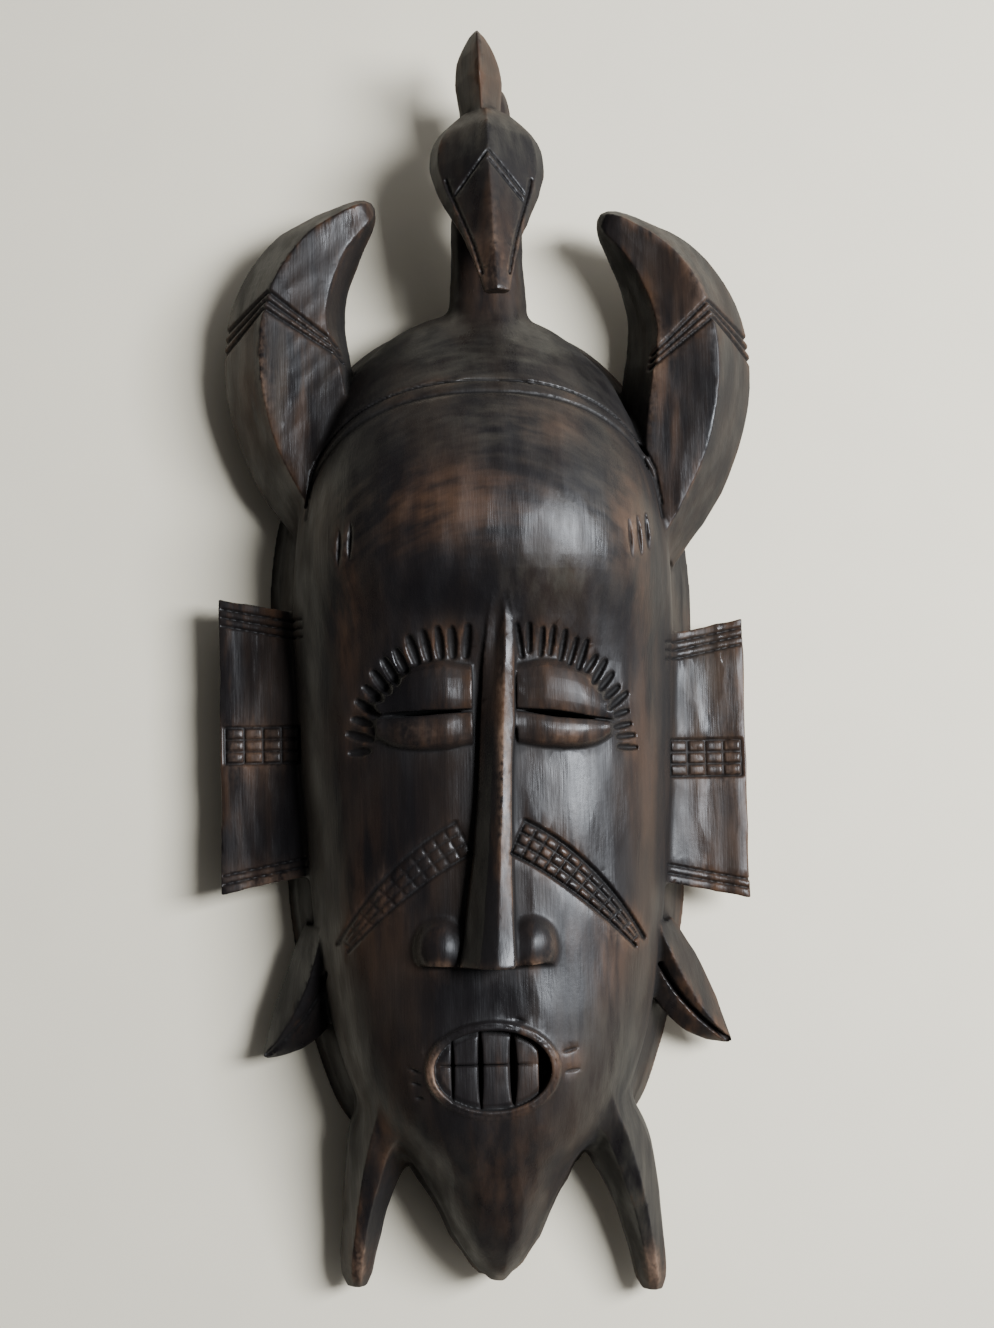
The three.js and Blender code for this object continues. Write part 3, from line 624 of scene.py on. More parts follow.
@dataclass(frozen=True)
class Stations:
    """Half-width, underside and front of a body at chosen places along it."""

    y: Sequence[float]
    half: Sequence[float]
    back: Sequence[float]
    front: Sequence[float]

    def rows(self, count: int) -> list[tuple[float, float, float, float]]:
        """Return evenly spaced rows of place, half-width, underside and front.

        Args:
            count: How many rows.

        Returns:
            The rows.
        """
        places = np.linspace(self.y[0], self.y[-1], count)
        values = [Profile(tuple(zip(self.y, v)))(places) for v in (self.half, self.back, self.front)]
        rows = zip(places, *values)
        return [
            (float(y), max(float(half), LEAST_HALF), float(back), float(front))
            for y, half, back, front in rows]


@dataclass
class FaceShell:
    """The domed face, from the crown to the jaw, with its hollow back and its chin."""

    rim: Pairs = (
        (0, 121.5), (30, 116), (52, 98), (66, 67), (72.5, 34), (73, -5),
        (70.5, -50), (66, -95), (58, -132), (46, -155), (22, -167), (0, -169),
    )
    heights: Pairs = (
        (122, 21), (114, 34), (102, 45), (88, 54), (70, 64.5), (48, 71), (28, 69.5), (10, 61.5),
        (-5, 57), (-40, 57), (-85, 57), (-130, 57.5), (-150, 53), (-169, 40),
    )
    hollow_outline: Pairs = (
        (0, 90), (34, 82), (51, 57), (58.5, 25), (58.5, -30), (54.5, -80), (46, -117), (31, -141), (0, -151),
    )
    hollow_heights: Pairs = (
        (91, 14), (78, 42), (60, 54), (45, 59.5), (28, 58), (10, 50.5), (-5, 46.5), (-85, 46), (-112, 43),
        (-135, 36), (-151, 14),
    )
    skirt_width: float = 9.0
    skirt_height: float = 15.0
    skirt_limit: float = 0.35
    foot_limit: float = 0.6
    dome_power: float = 2.3
    arch_points: int = 73
    rim_samples: int = 400
    rows_at_ends: float = 0.55
    end_margin: float = 0.004
    shell_rows: int = 120
    hollow_rows: int = 70
    below: float = 5.0
    chin_stations: Stations = Stations(
        y=(-128, -150, -167, -181, -190, -195.5, -200.5, -203.5),
        half=(40, 36, 28.4, 20.8, 16.2, 12.6, 9.0, 5.4),
        back=(6, 6, 6, 6.5, 7, 8, 9.5, 12), front=(56, 53, 46, 38.5, 33, 29, 25, 20.5))
    chin_rows: int = 60
    chin_lean: float = 0.6
    chin_skirt: float = 3.0
    chin_foot: float = 10.0
    shell_fillet: float = 1.0
    chin_fillet: float = 6.0
    hollow_edge: float = 2.5

    def section(self, half: float, height: float, y: float, skirt: float, foot: float, base: float) -> Array:
        """Return one arched section: a flat base, a flaring skirt and a squarish arch.

        Args:
            half: Half the section's width at its base.
            height: The arch's height.
            y: The section's place up the face.
            skirt: How far the base stands out past the arch.
            foot: The height at which the arch starts.
            base: The height of the base.

        Returns:
            The section's points.
        """
        width = half - min(skirt, half * self.skirt_limit)
        foot = min(foot, height * self.foot_limit)
        turn = np.linspace(-np.pi / 2, np.pi / 2, self.arch_points)
        across = np.sign(turn) * np.abs(np.sin(turn)) ** (2 / self.dome_power)
        up = np.maximum(np.cos(turn), 0) ** (2 / self.dome_power)
        arch = np.stack([width * across, np.full_like(turn, y), foot + (height - foot) * up], 1)
        return np.vstack([[-half, y, base], arch, [half, y, base]])

    def rows(self, outline: Pairs, count: int) -> Array:
        """Return half-widths and places up the face, closer together at the ends.

        Args:
            outline: Half-widths and places.
            count: How many rows.

        Returns:
            The rows.
        """
        share = np.linspace(0, 1, count)
        eased = mix(share, 0.5 - 0.5 * np.cos(np.pi * share), self.rows_at_ends)
        return spline(outline, np.clip(eased, self.end_margin, 1 - self.end_margin))

    def shell(self) -> Solid:
        """Return the outside of the face.

        Returns:
            The solid.
        """
        height = Profile(self.heights)
        rows = self.rows(self.rim, self.shell_rows)
        return loft([
            self.section(max(half, 1.0), float(height(y)), y, self.skirt_width, self.skirt_height, 0.0)
            for half, y in rows])

    def hollow(self) -> Solid:
        """Return the space in the back.

        Returns:
            The solid to cut away.
        """
        height = Profile(self.hollow_heights)
        rows = self.rows(self.hollow_outline, self.hollow_rows)
        return loft([
            self.section(max(half, 1.0), float(height(y)), y, 0.0, 0.0, -self.below)
            for half, y in rows])

    def half_width(self, y: float | Array) -> Array:
        """Return the rim's half-width at a height up the face."""
        rows = spline(self.rim, np.linspace(0, 1, self.rim_samples))[::-1]
        return np.interp(y, rows[:, 1], rows[:, 0])

    def height(self, x: float | Array, y: float | Array) -> Array:
        """Return how far the bare face stands out at a place across and up it.

        Args:
            x: The place across the face.
            y: The place up the face.

        Returns:
            The height above the rim.
        """
        half = np.maximum(self.half_width(y) - self.skirt_width, 1.0)
        share = np.minimum(np.abs(x) / half, 1.0)
        arch = (1 - share**self.dome_power) ** (1 / self.dome_power)
        return self.skirt_height + (Profile(self.heights)(y) - self.skirt_height) * arch

    def carve(self, block: CarvingBlock) -> None:
        """Join the face and the chin into the block."""
        block.join(self.shell(), self.shell_fillet)
        block.join(self.chin(), self.chin_fillet)

    def chin(self) -> Solid:
        """Return the long tapering chin.

        Returns:
            The solid.
        """
        root, tip = self.chin_stations.y[0], self.chin_stations.y[-1]
        rings = []
        for y, half, back, front in self.chin_stations.rows(self.chin_rows):
            lean = self.chin_lean * (root - y) / (root - tip)
            section = self.section(half, front, y, self.chin_skirt, back + self.chin_foot, back)
            rings.append(section + (lean, 0, 0))
        return loft(rings)

    def empty(self, block: CarvingBlock) -> None:
        """Cut the hollow out of the back."""
        block.cut(self.hollow(), self.hollow_edge)


def arc(start: Pair, middle: Pair, end: Pair, share: float) -> Array:
    """Return a place on a simple curve between two ends.

    Args:
        start: Where the curve starts.
        middle: The place that the curve is drawn towards.
        end: Where the curve ends.
        share: The share of the way along it.

    Returns:
        The place.
    """
    a, b, c = (np.array(place, float) for place in (start, middle, end))
    return mix(mix(a, b, share), mix(b, c, share), share)


def body_section(x: float, y: float, half: float, heights: Triple, ridge: Points) -> Array:
    """Return a section with a flat back and sloping sides under a ridge.

    Args:
        x: The section's middle.
        y: The section's place up the face.
        half: Half its width.
        heights: The heights of its back, its widest place and its shoulders.
        ridge: The points between its shoulders, from right to left.

    Returns:
        The section's points.
    """
    back, low, side = heights
    flat, shoulder = half * FLAT_BACK, half * SHOULDERS
    return np.array([
        (x - flat, y, back), (x + flat, y, back), (x + half, y, low), (x + shoulder, y, side),
        *ridge, (x - shoulder, y, side), (x - half, y, low)])


def oval(half: float, y: float, back: float, front: float, power: float = 2.4) -> Array:
    """Return a squarish oval section.

    Args:
        half: Half the width.
        y: The place up the face.
        back: The underside's height.
        front: The front's height.
        power: How squarish it is; 2 is round.

    Returns:
        The section's points.
    """
    turn = np.linspace(0, 2 * np.pi, OVAL_TURNS, endpoint=False)
    across, out = (np.sign(v) * np.abs(v) ** (2 / power) for v in (np.cos(turn), np.sin(turn)))
    return np.stack([half * across, np.full_like(turn, y), (back + front) / 2 + (front - back) / 2 * out], 1)


@dataclass
class Horn:
    """A curved horn beside the crown, with three faces and a chevron across its ridge."""

    side: Side
    rise: float
    fold_in: Sequence[float]
    outer: Points = (
        (62, 35, 14), (80, 61, 17), (89.3, 92, 19), (86.5, 121, 21), (70, 144, 25), (40, 157, 30))
    ridge: Points = (
        (57, 43, 32.5), (70.8, 69, 36.5), (76.2, 97, 38.2), (73, 121, 38.5), (60, 141, 37), (39.5, 153.5, 36))
    fold: Points = (
        (56.5, 44, 32), (54.5, 72, 34.6), (56.5, 95, 35), (57, 114, 35), (49, 134, 34.2), (37, 147.5, 34))
    inner: Points = (
        (47, 46, 14), (46, 75, 14), (46.5, 98, 14), (48.5, 117, 15), (45.5, 132, 20), (36, 150, 28))
    back: Sequence[float] = (8, 9, 10, 12, 16, 24)
    rows: int = 48
    fillet: float = 2.0
    chevron_at: float = 0.6
    chevron_lines: int = 3
    chevron_pitch: float = 0.025
    chevron_overrun: float = 1.04
    chevron_cut: Tool = Tool(2.0, 1.2)
    front_fall: float = 0.1
    side_fall: float = 0.07
    tip_from: float = 0.93
    tip_close: float = 0.96

    def folded(self) -> Array:
        """Return the fold's points, drawn towards the inner edge by this side's shares.

        Returns:
            The fold's points.
        """
        fold, inner = np.array(self.fold, float), np.array(self.inner, float)
        fold[:, 0] = mix(fold[:, 0], inner[:, 0], np.array(self.fold_in))
        return fold

    def rail(self, points: Points, share: float | Array) -> Array:
        """Return places on one of the horn's long edges, from root to tip."""
        place = spline(points, share)
        return place * (self.side.value, 1, 1) + (UPPER_LEAN, self.rise, 0)

    def solid(self) -> Solid:
        """Return the horn.

        Returns:
            The solid.
        """
        share = np.linspace(0, 1, self.rows)
        rails = [self.rail(points, share) for points in (self.outer, self.ridge, self.folded(), self.inner)]
        depth = spline([[z] for z in self.back], share)[:, 0]
        low_outer, low_inner = rails[0].copy(), rails[3].copy()
        low_outer[:, 2] = depth
        low_inner[:, 2] = depth
        rings = np.stack([low_outer, *rails, low_inner], axis=1)
        end = np.clip((share - self.tip_from) / (1 - self.tip_from), 0, self.tip_close)
        size = np.sqrt(1 - end**2)[:, None, None]
        middle = rings.mean(axis=1, keepdims=True)
        return loft(middle + (rings - middle) * size)

    def carve(self, block: CarvingBlock) -> None:
        """Join the horn into the block."""
        block.join(self.solid(), self.fillet)

    def mark(self, plan: CutPlan) -> None:
        """Cut the chevrons across the ridge.

        Args:
            plan: The plan of cuts to add to.
        """
        for line in range(self.chevron_lines):
            at = self.chevron_at - line * self.chevron_pitch
            top = self.rail(self.ridge, at)[0]
            for rail, fall in ((self.folded(), self.front_fall), (self.outer, self.side_fall)):
                low = self.rail(rail, at - fall)[0]
                end = mix(top, low, self.chevron_overrun)
                plan.scratch(np.array([[top, end]]), self.chevron_cut)


@dataclass
class BirdCrest:
    """The bird on the crown: neck, teardrop head with a beak, crest and the knob behind it."""

    neck: Stations = Stations(
        y=(100, 121, 136, 150, 166), half=(14.5, 13.4, 12.6, 12.2, 9), back=(8, 9, 12, 17, 26),
        front=(42, 35, 34, 40, 44))
    head: Stations = Stations(
        y=(184, 181, 173, 163, 153, 143, 133, 122, 114), half=(4, 9.5, 16.6, 19.4, 17.3, 13.4, 9.5, 6.2, 4.5),
        back=(33, 28, 22, 20, 25, 37, 50, 59, 62.5), front=(43, 47.5, 53.5, 58, 61, 64, 66.5, 69, 70))
    crest: Stations = Stations(
        y=(176, 184, 195, 203, 209, CREST_TIP_Y), half=(6.6, 7.4, 8.2, 6.6, 3.2, 0.7),
        back=(26, 26, 28, 31, 35, 38), front=(46, 46, 46.5, 46, 44.5, 42.5))
    neck_rows: int = 30
    head_rows: int = 70
    crest_rows: int = 40
    crest_lean: Pair = (-1.3, -2.4)
    crest_shoulder: float = 0.5
    crest_edge: float = 0.22
    shoulder: float = 0.6
    cheek_share: float = 0.55
    cheek_from: float = 0.15
    cheek_steps: int = 6
    brow_half: float = 0.86
    brow_rise: float = 0.34
    slant: float = 1.6
    knob_centre: Triple = (4, 187, 23)
    knob_radii: Triple = (5.6, 11, 6)
    chevron_apex: float = 164.0
    chevron_fall: float = 14.5
    chevron_reach: float = 11.5
    chevron_pitch: float = 3.4
    chevron_cut: Tool = Tool(1.5, 1.0)
    beak_top: float = 156.0
    beak_bottom: float = 120.0
    beak_share: float = 0.76
    beak_steps: int = 12
    beak_cut: Tool = Tool(1.5, 1.2)
    neck_fillet: float = 3.0
    head_fillet: float = 1.0
    knob_fillet: float = 0.8

    def shift(self, y: float) -> float:
        """Return how far right of the head's middle the beak's ridge runs at a height."""
        top, bottom = self.head.y[3], self.head.y[-1]
        return self.slant * min(max((top - y) / (top - bottom), 0.0), 1.0)

    def head_section(self, y: float, half: float, back: float, front: float) -> Array:
        """Return a section of the head: rounded cheeks under two flat slopes and a ridge.

        Args:
            y: The place up the face.
            half: Half the width.
            back: The underside's height.
            front: The front's height.

        Returns:
            The section's points.
        """
        x = self.shift(y)
        side = mix(back, front, self.shoulder)
        rise = np.linspace(self.cheek_from, 1.0, self.cheek_steps)
        reach = half * (self.cheek_share + (1 - self.cheek_share) * np.sin(np.pi * 0.5 * rise))
        right = [(x + out, y, mix(back, side, share)) for share, out in zip(rise, reach)]
        left = [(x - out, y, mix(back, side, share)) for share, out in zip(rise, reach)]
        brow = side + (front - side) * self.brow_rise
        top = [(x + half * self.brow_half, y, brow), (x, y, front), (x - half * self.brow_half, y, brow)]
        return np.array([*right, *top, *left[::-1]])

    def crest_section(self, y: float, half: float, back: float, front: float) -> Array:
        """Return a section of the crest, which leans to the left towards its tip.

        Args:
            y: The place up the face.
            half: Half the width.
            back: The underside's height.
            front: The front's height.

        Returns:
            The section's points.
        """
        root, tip = self.crest.y[0], self.crest.y[-1]
        x = mix(*self.crest_lean, (y - root) / (tip - root))
        side = mix(back, front, self.crest_shoulder)
        low = side - (front - back) * self.crest_edge
        return body_section(x, y, half, (back, low, side), [(x, y, front)])

    def carve(self, block: CarvingBlock) -> None:
        """Join the bird into the block.

        Args:
            block: The block of wood.
        """
        neck = loft([oval(half, y, back, front) for y, half, back, front in self.neck.rows(self.neck_rows)])
        head = loft([self.head_section(*row) for row in self.head.rows(self.head_rows)])
        crest = loft([self.crest_section(*row) for row in self.crest.rows(self.crest_rows)])
        knob = ball(self.knob_centre, self.knob_radii)
        fillets = (self.neck_fillet, self.head_fillet, self.head_fillet, self.knob_fillet)
        for form, fillet in zip((neck, head, crest, knob), fillets):
            block.join(moved(form, UPPER_LEAN), fillet)

    def mark(self, plan: CutPlan) -> None:
        """Cut the chevron on the head and the line of the beak on each side.

        Args:
            plan: The plan of cuts to add to.
        """
        half = Profile(tuple(zip(self.head.y, self.head.half)))
        for side, lines in ((Side.LEFT, 1), (Side.RIGHT, 2)):
            for line in range(lines):
                apex = self.chevron_apex - line * self.chevron_pitch
                low = apex - self.chevron_fall
                top = (UPPER_LEAN + self.shift(apex), apex)
                end = (UPPER_LEAN + self.shift(low) + side.value * self.chevron_reach, low)
                plan.scratch(np.array([[top, end]]), self.chevron_cut)
            heights = np.linspace(self.beak_top, self.beak_bottom, self.beak_steps)
            across = [
                UPPER_LEAN + self.shift(y) + side.value * float(half(y)) * self.beak_share for y in heights]
            plan.line(np.stack([across, heights], 1), self.beak_cut)


@dataclass
class EarPanel:
    """A flaring side panel, dished in front, with end grooves and a lattice across its middle."""

    side: Side
    middle: float
    height: float
    reach: float
    lattice: bpy.types.NodeTree
    root: float = 56.0
    root_shrink: float = 13.0
    thickness: float = 9.0
    z: float = 19.0
    dish: float = 1.8
    fall: float = 1.7
    back_slope: float = 1.5
    rim_from: float = 0.9
    rim_fall: float = 7.0
    steps: int = 14
    fillet: float = 2.5
    band: Triple = (12.0, 0.18, 0.94)
    band_cells: tuple[int, int] = (4, 3)
    band_cut: Tool = Tool(1.5, 1.1)
    groove_insets: tuple[float, ...] = (3.4, 6.2, 9.0)
    groove_shares: Pair = (0.12, 0.97)
    groove_steps: int = 6
    groove_cut: Tool = Tool(1.2, 0.9)

    def half(self, share: float | Array) -> float | Array:
        """Return half the panel's height at a share of the way out."""
        return (self.height - self.root_shrink * (1 - share)) / 2

    def carve(self, block: CarvingBlock) -> None:
        """Join the panel into the block.

        Args:
            block: The block of wood.
        """
        rings = []
        for share in np.linspace(0, 1, self.steps):
            x = self.side.value * mix(self.root, self.reach, share)
            front = self.z + self.thickness / 2 - self.dish * math.sin(math.pi * share)
            front -= self.fall * share + self.rim_fall * max(share - self.rim_from, 0.0)
            back = self.z - self.thickness / 2 + self.back_slope * share
            half = self.half(share)
            low, high = self.middle - half, self.middle + half
            rings.append([(x, low, back), (x, high, back), (x, high, front), (x, low, front)])
        block.join(loft(rings), self.fillet)

    def place(self, share: Array, y: Array) -> Array:
        """Return places on the panel from shares of the way out and heights."""
        return np.stack([self.side.value * mix(self.root, self.reach, share), y], -1)

    def mark(self, plan: CutPlan) -> None:
        """Cut the end grooves, one fewer at the low end, and the lattice.

        Args:
            plan: The plan of cuts to add to.
        """
        share = np.linspace(*self.groove_shares, self.groove_steps)
        for end, insets in ((-1, self.groove_insets[:-1]), (1, self.groove_insets)):
            for inset in insets:
                plan.line(self.place(share, self.middle + end * (self.half(share) - inset)), self.groove_cut)
        height, first, last = self.band
        columns, rows = self.band_cells
        cells = strokes_from(self.lattice, Columns=columns, Rows=rows)
        across = mix(first, last, cells[..., 0])
        up = self.middle + (cells[..., 1] - 0.5) * height
        plan.scratch(self.place(across, up), self.band_cut)


@dataclass
class JawFin:
    """A leaf-shaped fin at the jaw, with a ridge near its outer edge and a deep slit."""

    side: Side
    top: Pair
    bulge: Pair
    tip: Pair
    low: Pair
    slit_cut: Tool
    root: Pair = (48.0, -92.0)
    back: float = 11.0
    edge: float = 16.0
    ridge: float = 30.0
    tip_edge: float = 14.0
    tip_ridge: float = 18.0
    ridge_share: float = 0.42
    inner_rise: float = 3.0
    last_share: float = 0.97
    steps: int = 26
    fillet: float = 2.0
    slit_shares: Pair = (0.2, 0.93)
    slit_across: Pair = (0.72, 0.5)
    slit_steps: int = 9

    def between(self, share: float, across: float) -> Array:
        """Return a place on the fin, down from its root and in from its outer edge.

        Args:
            share: The share of the way down.
            across: The share of the way in.

        Returns:
            The place across and up the face.
        """
        outer = arc(self.top, self.bulge, self.tip, share)
        inner = arc(self.root, self.low, self.tip, share)
        return mix(outer, inner, across) * (self.side.value, 1)

    def carve(self, block: CarvingBlock) -> None:
        """Join the fin into the block.

        Args:
            block: The block of wood.
        """
        rings = []
        for share in np.linspace(0, self.last_share, self.steps):
            edge = mix(self.edge, self.tip_edge, share)
            high = mix(self.ridge, self.tip_ridge, share)
            inner = edge + self.inner_rise * (1 - share)
            spots = ((0, self.back), (0, edge), (self.ridge_share, high), (1, inner), (1, self.back))
            rings.append([(*self.between(share, across), z) for across, z in spots])
        block.join(loft(rings), self.fillet)

    def mark(self, plan: CutPlan) -> None:
        """Cut the slit.

        Args:
            plan: The plan of cuts to add to.
        """
        shares = np.linspace(*self.slit_shares, self.slit_steps)
        points = [self.between(share, mix(*self.slit_across, share)) for share in shares]
        plan.line(np.array(points), self.slit_cut)


@dataclass
class Leg:
    """A tapered leg under the jaw, with a narrow flat down its front and a blunt foot.

    Its stations are at shares of its length, from 0 at the jaw to 1 at the foot.
    """

    side: Side
    root: float
    foot: float
    end: float
    top: float = -133.0
    bend: float = 1.6
    stations: Stations = Stations(
        y=(0, 0.25, 0.4, 0.67, 0.94, 1), half=(8, 12, 11, 7.7, 5.7, 3.6), back=(6, 5, 5, 5, 6, 8.5),
        front=(41, 38, 33, 25.5, 18.5, 15.5))
    rows: int = 40
    shoulder: float = 0.6
    widest: float = 0.4
    ridge_half: float = 0.3
    ridge_slip: float = 0.4
    fillet: float = 4.0

    def carve(self, block: CarvingBlock) -> None:
        """Join the leg into the block.

        Args:
            block: The block of wood.
        """
        rings = []
        for share, half, back, front in self.stations.rows(self.rows):
            x = self.side.value * mix(self.root, self.foot, 1 - (1 - share) ** self.bend)
            y = mix(self.top, self.end, share)
            side = mix(back, front, self.shoulder)
            flat = half * self.ridge_half
            ridge = [(x + flat, y, front), (x - flat, y, front - self.ridge_slip)]
            rings.append(body_section(x, y, half, (back, mix(back, side, self.widest), side), ridge))
        block.join(loft(rings), self.fillet)


@dataclass
class Nose:
    """The long ridged nose with its nostrils and its flat base.

    The facet to the right of its ridge ends at a share of the half-width, a fall below the top.
    """

    face: FaceShell
    places: Sequence[float] = (20, 8, -20, -55, -82, -98.5)
    middle: Sequence[float] = (4.4, 4.3, 2.8, 1.1, -0.7, -1.9)
    half: Sequence[float] = (2.2, 4.4, 5.4, 5.8, 7.4, 8.6)
    rise: Sequence[float] = (-1.5, 2.4, 8.5, 12, 14.5, 16.5)
    sunk: float = 6.0
    base_half: float = 1.15
    wall_share: float = 0.35
    facet: Pair = (0.92, 1.2)
    ridge_half: float = 0.3
    ridge_fall: float = 2.4
    rows: int = 70
    fillet: float = 1.2
    nostril_out: float = 13.8
    nostril_middle: float = -2.0
    nostril_centre: Pair = (-93.0, 52.0)
    nostril_radii: Triple = (9.6, 10.6, 9.4)
    nostril_fillet: float = 1.6

    def carve(self, block: CarvingBlock) -> None:
        """Join the nose and the nostrils into the block.

        Args:
            block: The block of wood.
        """
        rings = []
        for y in np.linspace(self.places[0], self.places[-1], self.rows):
            x, half, rise = (
                float(Profile(tuple(zip(self.places, column)))(y))
                for column in (self.middle, self.half, self.rise))
            base = float(self.face.height(x, y))
            foot, wall, top = base - self.sunk, base + rise * self.wall_share, base + rise
            out, ridge = half * self.base_half, half * self.ridge_half
            facet, fall = self.facet
            rings.append([
                (x - out, y, foot), (x + out, y, foot), (x + half, y, wall),
                (x + half * facet, y, top - fall), (x + ridge, y, top), (x - ridge, y, top - self.ridge_fall),
                (x - half, y, wall)])
        block.join(loft(rings), self.fillet)
        y, z = self.nostril_centre
        for side in Side:
            centre = (self.nostril_middle + side.value * self.nostril_out, y, z)
            block.join(ball(centre, self.nostril_radii, low_y=self.places[-1]), self.nostril_fillet)


@dataclass
class Eye:
    """An eye: two raised lids, the slit between them and the fan of cuts over it."""

    side: Side
    face: FaceShell
    fan: bpy.types.NodeTree
    fall: float
    height: float
    cuts: int
    cut: Tool
    middle: float = 1.9
    inner: float = 7.0
    line: float = -18.2
    upper: Triple = (38.5, 0.35, 5.4)
    upper_reach: Pairs = ((0, 14.8), (0.3, 16.6), (0.6, 14.6), (0.8, 10.4), (0.93, 6), (1, 2.5))
    lower: Triple = (37.5, -0.75, 4.4)
    lower_reach: Pairs = ((0, -11), (0.3, -12.6), (0.6, -12.8), (0.85, -11.4), (1, -8.5))
    lid_spots: Pairs = (
        (0.0, 0.75), (0.2, 0.95), (0.4, 1.0), (0.62, 0.92), (0.82, 0.7), (0.95, 0.3),
    )
    lid_steps: int = 40
    lid_fillet: float = 0.8
    lid_sunk: Pair = (-5.0, -1.0)
    lid_ends: Pair = (0.1, 0.9)
    slit: Pair = (8.5, 36.0)
    slit_low: float = 0.2
    slit_power: float = 0.7
    slit_steps: int = 24
    slit_heights: Pair = (20.0, 95.0)
    slit_edge: float = 0.3
    brow_centre: Pair = (12.0, -29.5)
    brow_inner: Pair = (28.0, 29.0)
    brow_outer: Pair = (33.5, 37.5)
    brow_turns: Pair = (-2.0, 97.0)
    seed: int = 5

    def lid(self, outer: float, edge: float, rise: float, reach: Pairs) -> Solid:
        """Return a lid: a band beside the slit with a rounded outer edge.

        Args:
            outer: How far out the lid ends.
            edge: How far above the slit's line its inner edge runs.
            rise: How far it stands out from the face.
            reach: How far up its outer edge runs, at shares of the way out.

        Returns:
            The lid.
        """
        reach_at = Profile(reach)
        rings = []
        deep, shallow = self.lid_sunk
        first, last = self.lid_ends
        for share in np.linspace(0, 1, self.lid_steps):
            x = self.middle + self.side.value * mix(self.inner, outer, share)
            near = self.line + edge - self.fall * share
            far = self.line + float(reach_at(share))
            z = float(self.face.height(x, mix(near, far, 0.5)))
            high = rise * (0.5 + 0.5 * math.sin(math.pi * min(max(share, first), last)))
            raised = [(place, high * part) for place, part in self.lid_spots]
            spots = ((0.0, deep), *raised, (1.0, shallow), (1.0, deep))
            rings.append([(x, mix(near, far, share_y), z + dz) for share_y, dz in spots])
        return loft(rings)

    def carve(self, block: CarvingBlock) -> None:
        """Join the lids into the block."""
        block.join(self.lid(*self.upper, self.upper_reach), self.lid_fillet)
        block.join(self.lid(*self.lower, self.lower_reach), self.lid_fillet)

    def open(self, block: CarvingBlock) -> None:
        """Cut the slit right through the wall.

        Args:
            block: The block of wood.
        """
        steps = self.slit_steps
        share = np.concatenate([np.linspace(0, 1, steps), np.linspace(1, 0, steps)[1:-1]])
        way = np.where(np.arange(len(share)) < steps, 1.0, -1.0)
        x = self.middle + self.side.value * mix(*self.slit, share)
        bow = self.height / 2 * np.sin(np.pi * share) ** self.slit_power * way
        edge = self.line - self.slit_low - self.fall * share + bow
        cutter = loft([np.stack([x, edge, np.full_like(x, z)], 1) for z in self.slit_heights])
        block.cut(cutter, self.slit_edge)

    def mark(self, plan: CutPlan) -> None:
        """Cut the fan over the eye.

        Args:
            plan: The plan of cuts to add to.
        """
        start, end = (math.radians(turn) for turn in self.brow_turns)
        cuts = strokes_from(
            self.fan, Count=self.cuts, From=start, To=end, Inner_Across=self.brow_inner[0],
            Inner_Up=self.brow_inner[1], Outer_Across=self.brow_outer[0], Outer_Up=self.brow_outer[1],
            Seed=self.seed + self.side.value)
        cuts = cuts[..., :2] + self.brow_centre
        cuts[..., 0] = self.middle + self.side.value * cuts[..., 0]
        plan.scratch(cuts, self.cut)


